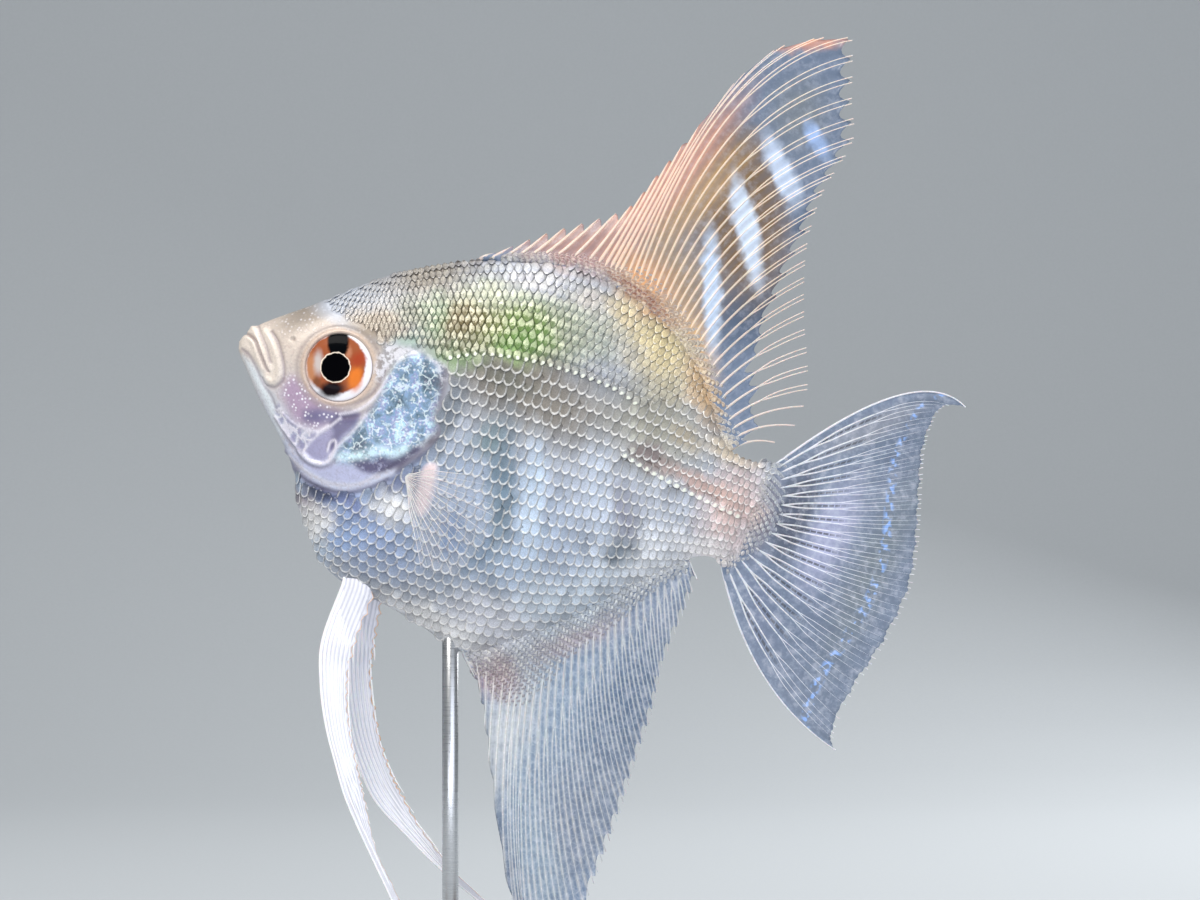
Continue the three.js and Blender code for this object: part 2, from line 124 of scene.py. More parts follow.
# Plain names of the nodes in use: Blender's name, its settings, the sockets its values go to, its result
nodeKinds = {
    "mix": ("ShaderNodeMix", {"data_type": "RGBA"}, (0, 6, 7), 2),
    "ease": ("ShaderNodeMapRange", {"interpolation_type": "SMOOTHSTEP"}, (0, 1, 2, 3, 4), 0),
    "noise": ("ShaderNodeTexNoise", {}, ("Vector", "Scale", "Detail", "Roughness"), 0),
    "cellEdge": ("ShaderNodeTexVoronoi", {"feature": "DISTANCE_TO_EDGE"}, ("Vector", "Scale"), "Distance"),
    "objectPlace": ("ShaderNodeTexCoord", {}, (), "Object"),
    "group": ("ShaderNodeGroup", {}, (), 0),
    "carried": ("ShaderNodeAttribute", {}, (), "Fac"),
    "carriedVector": ("ShaderNodeAttribute", {}, (), "Vector"),
    "named": ("GeometryNodeInputNamedAttribute", {"data_type": "FLOAT_VECTOR"}, ("Name",), "Attribute"),
    "bump": ("ShaderNodeBump", {}, ("Height", "Strength", "Distance"), 0),
    "mapping": ("ShaderNodeMapping", {}, ("Vector", "Location", "Rotation", "Scale"), 0),
    "separate": ("ShaderNodeSeparateXYZ", {}, (0,), None),
    "length": ("ShaderNodeVectorMath", {"operation": "LENGTH"}, (0,), "Value"),
    "distance": ("ShaderNodeVectorMath", {"operation": "DISTANCE"}, (0, 1), "Value"),
    "scale": ("ShaderNodeVectorMath", {"operation": "SCALE"}, (0, "Scale"), 0),
    "moved": ("ShaderNodeVectorMath", {"operation": "ADD"}, (0, 1), 0),
}
for operation in ("ADD", "SUBTRACT", "MULTIPLY", "DIVIDE", "POWER", "MAXIMUM", "ABSOLUTE", "PINGPONG"):
    nodeKinds[operation.lower()] = ("ShaderNodeMath", {"operation": operation}, (0, 1), 0)


def nodesOf(tree):  # gives the function that adds one node to a tree, with its settings, values and links
    def add(kind, *values, **settings):
        blenderName, fixed, sockets, result = nodeKinds.get(kind, (kind, {}, None, None))
        node = tree.nodes.new(blenderName)
        for name, value in {**fixed, **settings}.items():
            setattr(node, name, value)
        inputs = zip(sockets, values) if sockets else dict(*values).items()
        for key, value in inputs:
            if isinstance(value, bpy.types.NodeSocket):
                tree.links.new(value, node.inputs[key])
            else:
                node.inputs[key].default_value = value
        return node.outputs if result is None else node.outputs[result]

    return add


def product(add, *factors):
    total = factors[0]
    for factor in factors[1:]:
        total = add("multiply", total, factor)
    return total


def layered(add, colour, *layers):  # colours laid over one another: (how much, sRGB hex)
    for share, code in layers:
        colour = add("mix", share, colour, tint(code))
    return colour


def newMaterial(name, **values):  # a Principled material; what is the same all over is set on its sockets
    material = bpy.data.materials.new(name)
    material.use_nodes = True
    for key, value in values.items():
        material.node_tree.nodes["Principled BSDF"].inputs[key].default_value = value
    return material, nodesOf(material.node_tree)


def finished(material, colour, **varying):  # links what varies over the surface
    links, shader = material.node_tree.links, material.node_tree.nodes["Principled BSDF"]
    for key, socket in {"Base Color": colour, **varying}.items():
        links.new(socket, shader.inputs[key])
    return material


def linked(name, data):  # an object in the scene, at the origin
    piece = bpy.data.objects.new(name, data)
    bpy.context.scene.collection.objects.link(piece)
    return piece


def makeMesh(name, points, faces, *materials):  # points are in metres
    mesh = bpy.data.meshes.new(name)
    mesh.from_pydata(np.asarray(points).tolist(), [], faces)
    for material in materials:
        mesh.materials.append(material)
    mesh.polygons.foreach_set("use_smooth", np.ones(len(mesh.polygons), bool))
    mesh.update()
    return linked(name, mesh)


def ringFaces(count, around, first=0):  # quads between closed rings of points that follow one another
    i, j = np.meshgrid(np.arange(count - 1), np.arange(around), indexing="ij")
    here, beside = first + i * around + j, first + i * around + (j + 1) % around
    return np.stack([here, beside, beside + around, here + around], -1).reshape(-1, 4).tolist()


def fanFaces(middle, around, first):  # triangles from a ring of points to the point in its middle
    return [(middle, first + (j + 1) % around, first + j) for j in range(around)]


def cornerPoints(mesh):  # the point at each corner of each face
    corner = np.empty(len(mesh.loops), np.int32)
    mesh.loops.foreach_get("vertex_index", corner)
    return corner


def setUnwrap(mesh, values):  # (u, v) for each corner
    layer = mesh.uv_layers.new(name="OFBake")
    layer.data.foreach_set("uv", np.asarray(values, np.float32).ravel())


def setAttribute(mesh, name, values):  # numbers or vectors at the points
    values = np.asarray(values, np.float32)
    kind, key = ("FLOAT", "value") if values.ndim == 1 else ("FLOAT_VECTOR", "vector")
    mesh.attributes.new(name, kind, "POINT").data.foreach_set(key, values.ravel())


def fit(piece, slot, *nodes):  # what a piece rides on, and the solids that it replaces; the slot is not used
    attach(piece, "root")
    if nodes:
        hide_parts(*nodes)


# The body's form, the same named values as the solids
body = {
    "nose": -0.5,
    "stemEnd": 83.0,
    "pitch": math.radians(18),  # nose up
    "back": curveThrough([
        (-0.5, 0.4), (-0.2, 1.3), (0.5, 2.7), (2, 4.1), (4.2, 5.9), (9.1, 9.7), (14.3, 14.3), (19.5, 18.2),
        (25, 21.1), (33.5, 24.6), (42.3, 27.1), (47.1, 27.4), (54, 26.1), (60.4, 23.6), (66.5, 19.5),
        (70.5, 14.9), (73.6, 10.2), (76.9, 7.4), (79.5, 7.0), (83, 8.2)]),
    "belly": curveThrough([
        (-0.5, 0.3), (-0.2, -0.9), (1.9, -3.4), (5.5, -7.4), (9.2, -10.9), (12.4, -14.4), (14, -17.1),
        (15, -19.9), (17.8, -23.6), (21.2, -27.6), (26, -30), (32.8, -31.2), (39.2, -32.6), (44.6, -34.2),
        (47.4, -34.4), (52, -31.4), (59.5, -25.6), (66.7, -18.2), (71.6, -13.2), (75.6, -9.9), (78.5, -8.9),
        (83, -10.4)]),
    "halfWidth": curveThrough([
        (-0.5, 0.3), (0, 1.1), (1, 1.9), (2.5, 2.6), (5, 3.5), (10, 5), (15, 5.9), (22, 6.5), (32, 6.8),
        (42, 6.6), (52, 5.7), (62, 4.5), (72, 3.1), (78, 2.4), (83, 1.7)]),
    "widest": curveThrough([
        (-0.5, 0.35), (3, 0), (10, 0.5), (18, 0), (33, -4), (50, -6), (64, -2), (83, -1)]),
    "fullness": curveThrough([(-0.5, 2), (6, 1.9), (18, 1.6), (60, 1.5), (76, 1.8), (83, 1.8)]),
}
eye = {"a": 15.3, "h": 1.4}  # the middle of each eye's solid
eyeDisc = {"a": 15.65, "h": 1.3, "radius": 5.1}  # what shows of it

# The nose's place over the base follows from the eyes' solids, whose centre is known on the fish
eyeLow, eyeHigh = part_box("eye_left")
eyeCentre = (eyeLow + eyeHigh) / 2
turnCos, turnSin = math.cos(body["pitch"]), math.sin(body["pitch"])
nosePoint = (
    eyeCentre.x - (eye["a"] * turnCos + eye["h"] * turnSin) * mm,
    0.0,
    eyeCentre.z - (eye["h"] * turnCos - eye["a"] * turnSin) * mm,
)


def turned(level):  # level directions (a, y, h) as they stand
    a, y, h = np.asarray(level, float).T
    return np.column_stack([a * turnCos + h * turnSin, y, h * turnCos - a * turnSin])


def standing(level):  # level millimetres (a, y, h) to metres on the stand
    return turned(level) * mm + nosePoint


def stemTaper(a):  # the stem thins into the root of the tail fin
    return 1 - 0.62 * smooth(78, 83, a)


def flankRise(a, h):  # how far a place is from the widest line towards the back (1) or the belly (-1)
    middle = body["widest"](a)
    return (h - middle) / np.where(h > middle, body["back"](a) - middle, middle - body["belly"](a))


def flank(a, h):  # half the body's width
    t = np.minimum(1, np.abs(flankRise(a, h)))
    return body["halfWidth"](a) * stemTaper(a) * (1 - t * t) ** (1 / body["fullness"](a))


def flankNormal(a, h, side):  # outward, on the flank of one side (-1 left, 1 right)
    step = 0.05
    slopeA = (flank(a + step, h) - flank(a - step, h)) / (2 * step)
    slopeH = (flank(a, h + step) - flank(a, h - step)) / (2 * step)
    return unit(np.column_stack([-slopeA, np.full(np.shape(a), float(side)), -slopeH]))


studio = {
    "target": (15.3, 0.0, 111.7),  # mm; the middle of the view, on the fish's midplane
    "view": 183.6,  # mm of that plane across the picture
    "lens": 100.0,
    "sensor": 36.0,
    "floor": "#b3b8bc",
    "sky": "#dfe5ea",
    "skyPower": 0.35,
    "halfWidth": 3.0,  # of the paper sweep, and where it starts, bends up and ends, in metres
    "near": -1.6,
    "far": 0.55,
    "bend": 0.45,
    "height": 2.2,
    "drop": 0.00002,  # under the base
    "lamps": {  # place, size, power, colour
        "key": ((-0.3, -0.62, 0.85), (0.5, 0.5), 7.7, "#fffaf4"),
        "fill": ((0.5, -0.75, 0.14), (0.9, 0.7), 3.4, "#eef3ff"),
        "top": ((0.05, 0.05, 0.95), (0.8, 0.6), 3.8, "#ffffff"),
        "rim": ((0.35, 0.5, 0.4), (0.4, 0.5), 2.8, "#ffffff"),
        "low": ((0.0, -0.7, 0.05), (0.8, 0.08), 0.95, "#f4f6ff"),
    },
}
aim = Vector(studio["target"]) * mm


def makeCamera():
    lens = bpy.data.cameras.new("camera")
    lens.lens = studio["lens"]
    lens.sensor_width = studio["sensor"]
    lens.clip_start = 0.01
    lens.clip_end = 20
    camera = linked("camera", lens)
    camera.location = aim - Vector((0, studio["view"] * mm * studio["lens"] / studio["sensor"], 0))
    camera.rotation_euler = (math.radians(90), 0, 0)
    bpy.context.scene.camera = camera


def makeSweep():  # a floor that curves up into a backdrop behind the model
    bend, far = studio["bend"], studio["far"]
    arc = np.linspace(0, math.pi / 2, 13)
    profile = [(studio["near"], 0.0), *zip(far + bend * np.sin(arc), bend * (1 - np.cos(arc))),
               (far + bend, studio["height"])]
    wide, n = studio["halfWidth"], len(profile)
    points = [(x, y, z - studio["drop"]) for x in (-wide, wide) for y, z in profile]
    faces = [(i, n + i, n + i + 1, i + 1) for i in range(n - 1)]
    material, add = newMaterial("studioPaper", Roughness=0.9)  # seamless paper roll, dull and even
    grain = add("noise", add("objectPlace"), 900.0)
    finished(material, add("mix", 0.03, tint(studio["floor"]), grain))
    makeMesh("studio_sweep", points, faces, material)


def makeLamps():  # soft boxes that look at the fish
    for name, (place, size, power, colour) in studio["lamps"].items():
        lamp = bpy.data.lights.new(name, "AREA")
        lamp.shape = "RECTANGLE"
        lamp.size, lamp.size_y = size
        lamp.energy = power
        lamp.color = tint(colour)[:3]
        piece = linked(name, lamp)
        piece.location = place
        piece.rotation_euler = (aim - Vector(place)).to_track_quat("-Z", "Y").to_euler()
    world = bpy.data.worlds.new("studio")
    world.use_nodes = True
    world.node_tree.nodes["Background"].inputs["Color"].default_value = tint(studio["sky"])
    world.node_tree.nodes["Background"].inputs["Strength"].default_value = studio["skyPower"]
    bpy.context.scene.world = world
    bpy.context.scene.view_settings.view_transform = "Standard"


makeCamera()
makeSweep()
makeLamps()
print("studio ready")


# Markings that the skin and the scales share. Each mark: a, h, reach along, reach across, turn in degrees,
# how much of it is soft edge, colour, strength
markings = {
    "ground": "#b3bac6",
    "wander": 2.2,  # mm that the edges of the marks wander
    "wanderScale": 0.35,
    "marks": [
        (40, -14, 34, 16, 0, 0.9, "#9ab0cc", 0.8),
        (26, -21, 16, 9, -15, 0.9, "#a2b8e2", 0.9),
        (44, 7, 24, 10, -8, 0.8, "#807768", 0.9),
        (64, 8, 13, 11, -30, 0.9, "#a09c8a", 0.9),
        (38, 15.5, 20, 8, 10, 0.9, "#b4c682", 0.9),
        (31, 14, 8, 6, 30, 0.9, "#a08e62", 0.9),
        (41, 14, 7, 5, 40, 0.9, "#9cc876", 0.75),
        (27, 13, 3, 6, 10, 0.9, "#a4cca6", 0.6),
        (24, 19, 13, 6, 30, 0.9, "#82776a", 0.9),
        (19, 9.5, 8, 4.5, 25, 0.9, "#a39078", 0.9),
        (33, 27, 22, 4, 18, 0.8, "#b9aeb0", 0.85),
        (44, 28.5, 12, 4, 4, 0.9, "#cda29c", 0.9),
        (50, 19, 8, 7, -20, 0.9, "#bcc2b4", 0.7),
        (61, 19.5, 13, 8, -34, 0.9, "#ecdaa8", 0.95),
        (57, 26, 13, 4, -22, 0.9, "#d8a87a", 0.9),
        (55.5, 26.0, 9.5, 1.3, -20, 0.8, "#9c5a42", 0.75),
        (69.5, 15.5, 10, 4.5, -55, 0.9, "#e6c294", 0.9),
        (79, -1, 7, 12, 0, 0.9, "#efcec4", 0.85),
        (73, 1.5, 14, 2.6, -8, 0.9, "#c49f90", 0.8),
        (76, 7.5, 7, 3, 0, 0.9, "#ecdcc4", 0.9),
        (77, -8.2, 8, 3.4, 0, 0.9, "#fffafa", 0.9),
        (68.5, -12, 10, 7, 30, 0.9, "#f0f4fa", 0.9),
        (58.5, -21.5, 15, 7, 42, 0.9, "#e4f2ff", 0.85),
        (49, -29, 11, 7, 10, 0.9, "#f3f5fe", 0.9),
        (41.5, -31.5, 15, 3.5, -12, 0.9, "#ffffff", 0.9),
        (20, -25, 6, 4, -45, 0.9, "#ccdef2", 0.9),
        (45, -9, 3.6, 18, 14, 0.8, "#5f7989", 0.85),
        (50, -10, 3.0, 16, 14, 0.8, "#c4d7ea", 0.95),
        (59, -5, 3.4, 12, 20, 0.9, "#c6d2e2", 0.85),
        (57, -17, 5, 6, 20, 0.9, "#b4c2d6", 0.8),
        (53, -36.5, 7, 5.5, -30, 0.9, "#ab969e", 0.95),
        (63, -27, 12, 3, 40, 0.9, "#b0a6b2", 0.85),
        (64, -7, 3.4, 7, 24, 0.9, "#75778a", 0.85),
        (33.6, -1, 2.2, 10, 0, 0.8, "#757f8a", 0.85),
        (30, -12.5, 6, 2.4, 42, 0.8, "#626e98", 0.85),
        (17.5, -20, 7, 3, -20, 0.9, "#a3929c", 0.85),
        (23, -18, 6, 2, -8, 0.9, "#707cae", 0.85),
        (14, -17, 4, 2.4, -30, 0.9, "#bdd2ea", 0.8),
        (19.5, 8.5, 6, 3.5, 15, 0.9, "#988b7c", 0.8),
        (19, -17, 5, 2.6, -5, 0.9, "#464e70", 0.95),
        (19, -22.5, 5, 4.5, -50, 0.8, "#ffffff", 0.95),
        (24, 13, 4.5, 3.4, 10, 0.9, "#767d6e", 0.85),
        (24.5, 8, 3.5, 2.5, 0, 0.9, "#90ab98", 0.8),
        (24, -23, 5, 3, -20, 0.9, "#a9c4f0", 0.8),
        (32, 8, 6.5, 3, 10, 0.9, "#a9c494", 0.9),
        (30, -16.5, 5, 4, 10, 0.9, "#ffffff", 0.95),
        # the dark edge of the gill slit, with painted shadow under the gill cover's rear edge
        (28.5, -8, 6, 4.5, 35, 0.9, "#5c6c94", 0.9),
        (34, 19, 6, 4, 25, 0.9, "#cacfb8", 0.75),
        (40, 23.5, 8, 3.5, 15, 0.9, "#dfdfe6", 0.85),
        (41, 7.5, 7, 3, -5, 0.9, "#74756a", 0.8),
        (40.5, -2, 3.4, 5, 10, 0.9, "#677e84", 0.85),
        (39.5, -17.5, 3, 6.5, 12, 0.9, "#6488b4", 0.9),
        (44, -19, 3, 6, 12, 0.9, "#879eb6", 0.8),
        (49, 23, 5, 3.4, -10, 0.9, "#e2dbd6", 0.85),
        (54, 23, 5, 3.2, -25, 0.9, "#efdcb2", 0.85),
        (49.5, -19, 4, 6, 10, 0.9, "#bccfe6", 0.8),
        (64.5, 3, 4.5, 2.8, -10, 0.9, "#7a6c6a", 0.9),
        (64.5, -12.5, 4.2, 4, 24, 0.9, "#687684", 0.9),
        (69, 7.5, 4, 3, -30, 0.9, "#b0a38a", 0.8),
    ],
}


def levelPlace(add):  # level millimetres out of Object coordinates
    pitch = (0, body["pitch"], 0)
    return add("mapping", add("objectPlace"), nosePoint, pitch, (mm, mm, mm), vector_type="TEXTURE")


def makeMarkings(name, colours):  # a group that gives the colour of a place, soft ovals laid over a ground
    group = bpy.data.node_groups.new(name, "ShaderNodeTree")
    group.interface.new_socket("Color", in_out="OUTPUT", socket_type="NodeSocketColor")
    add = nodesOf(group)
    place = levelPlace(add)
    drift = add("ShaderNodeTexNoise", {"Vector": place, "Scale": colours["wanderScale"]})["Color"]
    centred = add("moved", drift, (-0.5, -0.5, -0.5))
    place = add("moved", place, add("scale", centred, colours["wander"] * 2))
    colour = tint(colours["ground"])
    for a, h, along, across, turn, soft, code, strength in colours["marks"]:
        inside = add("mapping", place, (a, 0, h), (0, -math.radians(turn), 0), (along, 1e4, across),
                     vector_type="TEXTURE")
        mask = add("ease", add("length", inside), 1 - soft, 1.0, strength, 0.0)
        colour = add("mix", mask, colour, tint(code))
    add("NodeGroupOutput", {0: colour})
    return group


bodyMarkings = makeMarkings("bodyMarkings", markings)


# Skin
skin = {
    "foreEnd": 34.5,  # the head's closer mesh runs this far aft
    "foreRows": 205,
    "foreCrowding": 1.18,  # rows lie closer towards the nose
    "rearRows": 84,
    "around": 360,
    "thinning": 3,  # of the points round the body, behind the head
    "coatDepth": 0.2,  # mm that the scales stand over the skin
    "detailEnd": 38.0,  # folds and masks end before this
}
# Where scales begin behind the face, and the outline of the scaled flank
scaledFlank = rounded([
    (9.5, 14), (10.5, 10.2), (14, 9.0), (18, 8.4), (20.6, 7.2), (22.4, 8.2), (26, 8.6), (29.4, 7.8),
    (31.4, 6), (32.2, 3), (32.4, -1), (33.6, -4), (31.8, -7.6), (28.8, -11.6), (25.4, -15.2), (21, -17),
    (16, -16.8), (13, -16.2), (9, -20), (14, -50), (95, -50), (95, 40), (9.5, 40)])
pectoralBase = [(33.2, -8), (34.6, -8.2), (35.2, -11.5), (35.4, -14.6), (34.6, -16.4), (33.2, -15.6),
                (32.4, -12), (32.4, -9.4)]

gillPlate = [
    (10.5, -13.3), (12.3, -13.9), (14.5, -14.9), (16.6, -15.5), (18.8, -15.8), (21.1, -15.6), (23.3, -14.9),
    (24.9, -13.8), (26.1, -12.4), (27.8, -10.4), (29.6, -8.4), (31.2, -6.0), (32.4, -3.7), (31.3, -2.3),
    (30.7, -0.4), (30.8, 2.0), (30.5, 4.4), (29.2, 5.8), (27.3, 6.7), (25.7, 6.3), (24.3, 5.4), (23.4, 3.0),
    (23.0, 0), (22.2, -3), (21.3, -6), (19.5, -9.5), (18.6, -12.6), (16.5, -13.2), (14.2, -12.5)]

# Folds of the head. Each: kind, line, width and rise in mm. A plate is a closed outline raised over the rest,
# and a pale ridge is one with a white edge
folds = [
    ("groove", [(-0.9, 1.75), (0.6, 1.8), (2.0, 1.25), (3.1, 0.0), (4.4, -1.5), (5.4, -2.6)], 0.2, 0.5),
    ("ridge", [(0.7, 3.0), (2.0, 1.95), (3.4, 0.3), (4.8, -1.4), (5.4, -2.2)], 0.42, 0.3),
    ("groove", [(1.6, 3.5), (2.7, 2.2), (4.2, 0.6), (5.4, -1.2)], 0.22, 0.16),
    ("ridge", [(2.8, 3.1), (4.1, 2.2), (5.2, 1.0), (6.2, -0.4), (6.9, -1.6), (7.1, -3.0), (6.5, -3.9),
               (5.5, -3.7)], 0.45, 0.26),
    ("groove", [(4.0, 3.3), (5.3, 2.3), (6.4, 0.9), (7.2, -0.4), (7.8, -1.7), (8.0, -3.2), (7.1, -4.6),
                (5.6, -4.7), (4.8, -3.9)], 0.22, 0.22),
    ("ridge", [(-0.2, 0.5), (0.7, 1.15), (1.9, 0.7), (3.0, -0.8), (4.5, -2.6)], 0.4, 0.22),
    ("groove", [(0.4, -0.6), (1.9, -1.2), (3.6, -2.8), (5.2, -4.6), (7.0, -6.0), (8.6, -8.0)], 0.3, 0.1),
    ("groove", [(12.3, -2.9), (14.3, -4.0), (16.3, -4.4), (18.5, -3.8), (20.6, -2.4), (21.9, -0.6),
                (22.5, 1.8), (22.4, 3.6)], 0.22, 0.12),
    ("paleRidge", [(18.0, -5.4), (20.0, -4.3), (21.6, -2.5), (22.7, -0.2), (23.1, 1.9)], 0.3, 0.16),
    ("groove", [(18.8, -5.8), (20.7, -4.8), (22.3, -2.9), (23.4, -0.4), (23.8, 2.2)], 0.25, 0.18),
    ("groove", [(8.4, -9.2), (9.9, -10.5), (11.5, -11.7), (13.0, -12.7), (14.4, -13.6), (16.1, -14.2),
                (18.0, -13.9), (19.4, -12.4), (19.8, -10.5), (20.8, -8.9), (21.9, -6.4)], 0.22, 0.2),
    ("paleRidge", [(8.4, -8.8), (9.9, -10.0), (11.5, -11.1), (13.0, -12.1), (14.4, -13.0), (16.1, -13.6),
                   (17.8, -13.3), (18.8, -12.0), (19.2, -10.1), (20.2, -8.5), (21.2, -6.2),
                   (21.8, -4.4)], 0.22, 0.2),
    ("paleRidge", [(14.3, -12.5), (14.7, -10.9), (15.6, -9.4), (17.0, -7.8), (18.3, -5.9)], 0.2, 0.14),
    ("paleRidge", [(9.4, -7.9), (11.5, -8.9), (13.9, -9.2), (15.5, -9.0), (16.9, -7.6)], 0.2, 0.12),
    ("paleRidge", [(17.9, -11.3), (17.9, -9.9), (18.6, -9.4), (18.9, -10.6), (18.4, -12.0)], 0.16, 0.12),
    ("paleRidge", [(19.8, -12.1), (22.1, -11.0), (25.1, -9.6), (27.1, -8.5), (29.0, -6.9),
                   (30.4, -5.2)], 0.35, 0.1),
    ("groove", [(13.8, -16.0), (16.1, -16.7), (18.3, -17.0), (20.9, -16.9), (23.3, -16.3), (25.7, -14.9),
                (28.0, -12.6)], 0.25, 0.3),
    ("groove", [(28.9, -11.2), (30.9, -9.4), (32.6, -6.9), (33.6, -4.6)], 0.3, 0.2),
    ("plate", gillPlate, 0.22, 0.3),
    ("plate", [(24.6, 6.2), (27.2, 7.6), (29.8, 6.7), (31.2, 4.7), (31.7, 1.6), (31.7, -1.3), (33.3, -2.9),
               (32.9, -5.0), (30, -4), (28, 2)], 0.2, 0.16),
    ("plate", pectoralBase, 0.6, 0.55),
    ("pit", [(7.5, 3.2)], 0.24, 0.35),
]
eyeFolds = [  # distance from the eye's middle, width, rise: a ring round the eye and a furrow outside it
    (5.5, 0.3, 0.13), (6.1, 0.25, -0.06)]
eyeSocket = {"rim": 5.3, "floor": 4.85, "depth": 1.3}


def fromEye(a, h):
    return np.hypot(a - eyeDisc["a"], h - eyeDisc["h"])


def sectionRing(a, count):  # points of the section at a, evenly spaced round it, from the back down the left
    turn = np.linspace(math.pi / 2, -math.pi / 2, 900)
    middle = body["widest"](a)
    rise = np.sin(turn)
    reach = np.where(rise > 0, body["back"](a) - middle, middle - body["belly"](a))
    y = body["halfWidth"](a) * stemTaper(a) * np.abs(np.cos(turn)) ** (2 / body["fullness"](a))
    half = np.column_stack([y, middle + reach * rise])
    along = alongLine(half)
    stops = np.linspace(0, along[-1], count // 2 + 1)
    y, h = (np.interp(stops, along, values) for values in half.T)
    y[0] = y[-1] = 0
    return np.column_stack([
        np.full(count, a), np.concatenate([-y, y[-2:0:-1]]), np.concatenate([h, h[-2:0:-1]])])


def relief(a, h):  # mm that the skin stands over the plain form
    rise = np.zeros(np.shape(a))
    near = a < skin["detailEnd"]
    a, h = a[near], h[near]
    local = np.zeros(np.shape(a))
    for kind, line, width, height in folds:
        if kind == "pit":
            local -= height * np.exp(-(np.hypot(a - line[0][0], h - line[0][1]) / width) ** 2)
        elif kind == "plate":
            local += height * smooth(-width, width, within(roundedOutline(line), a, h))
        else:
            shape = np.exp(-(fromLine(rounded(line), a, h) / width) ** 2)
            local += shape * (-height if kind == "groove" else height)
    away = fromEye(a, h)
    for distance, width, height in eyeFolds:
        local += height * np.exp(-((away - distance) / width) ** 2)
    local -= eyeSocket["depth"] * smooth(eyeSocket["rim"], eyeSocket["floor"], away)
    rise[near] = local
    return rise


def raised(grid):  # rings moved along their own normals by the folds, less the coat's depth
    normal = unit(np.cross(np.gradient(grid, axis=0), np.roll(grid, -1, axis=1) - np.roll(grid, 1, axis=1)))
    normal *= np.sign(np.sum(normal * (grid - grid.mean(axis=1, keepdims=True))))
    a, h = grid[:, :, 0], grid[:, :, 2]
    lift = relief(a, h) - skin["coatDepth"] * smooth(-0.4, 0.6, within(scaledFlank, a, h))
    return grid + normal * (lift * smooth(-0.5, 0.6, a))[:, :, None]


def unwrapAlong(a):
    return 0.01 + 0.98 * (np.asarray(a) - body["nose"]) / (body["stemEnd"] - body["nose"])


def makeSkin():  # fine rings over the head, then rings of fewer points to the tail
    n, around, thin = skin["foreRows"], skin["around"], skin["thinning"]
    few = around // thin
    fore = body["nose"] + (skin["foreEnd"] - body["nose"]) * (np.arange(n + 1) / n) ** skin["foreCrowding"]
    fore[0] += 0.004
    rear = np.linspace(skin["foreEnd"], body["stemEnd"] - 0.6, skin["rearRows"] + 1)[1:]
    foreGrid = np.array([sectionRing(a, around) for a in fore])
    rearGrid = np.array([foreGrid[-1][::thin]] + [sectionRing(a, around)[::thin] for a in rear])
    foreGrid, rearGrid = raised(foreGrid), raised(rearGrid)[1:]
    points = np.vstack([foreGrid.reshape(-1, 3), rearGrid.reshape(-1, 3),
                        foreGrid[0].mean(axis=0), rearGrid[-1].mean(axis=0)])
    seam, base, end = n * around, (n + 1) * around, len(points) - 1
    faces = ringFaces(n + 1, around)
    for j in range(few):
        shared = [seam + (thin * j + k) % around for k in range(thin + 1)]
        faces.append(shared + [base + (j + 1) % few, base + j])
    faces += ringFaces(len(rearGrid), few, base)
    faces += fanFaces(end - 1, around, 0)
    faces += [face[::-1] for face in fanFaces(end, few, base + (len(rearGrid) - 1) * few)]
    piece = makeMesh("fish_skin", standing(points), faces)

    # The unwrap: along the fish, and round it from the back; the last face of each ring closes at 1, not at 0
    mesh = piece.data
    ringOf = np.concatenate([np.repeat(fore, around), np.repeat(rear, few), [body["nose"], body["stemEnd"]]])
    turnOf = np.concatenate([np.tile(np.arange(around) / around, n + 1),
                             np.tile(np.arange(few) / few, len(rearGrid)), [0.5, 0.5]])
    corner = cornerPoints(mesh)
    v = turnOf[corner]
    faceOf = np.repeat(np.arange(len(faces)), [len(face) for face in faces])
    most = np.zeros(len(faces))
    np.maximum.at(most, faceOf, v)
    v = np.where((most[faceOf] > 0.9) & (v < 0.1), 1.0, v)
    setUnwrap(mesh, np.column_stack([unwrapAlong(ringOf)[corner], 0.01 + 0.98 * v]))

    # Masks of the face's parts, for its colours
    a, h = points[:, 0], points[:, 2]
    near = a < skin["detailEnd"] + 2
    for name, make in faceMasks.items():
        values = np.zeros(len(points))
        values[near] = make(a[near], h[near])
        setAttribute(mesh, name, values)
    return piece


def area(outline, soft):  # a mask: 1 inside the outline, soft at its edge
    line = roundedOutline(outline)
    return lambda a, h: smooth(-soft, soft, within(line, a, h))


def stroke(lines, width):  # a mask along lines
    lines = [rounded(line) for line in lines]
    return lambda a, h: np.exp(-(np.min([fromLine(line, a, h) for line in lines], axis=0) / width) ** 2)


def roundEye(radius):  # a mask, a ring round the eye
    return lambda a, h: np.exp(-((fromEye(a, h) - radius) / 0.4) ** 2)


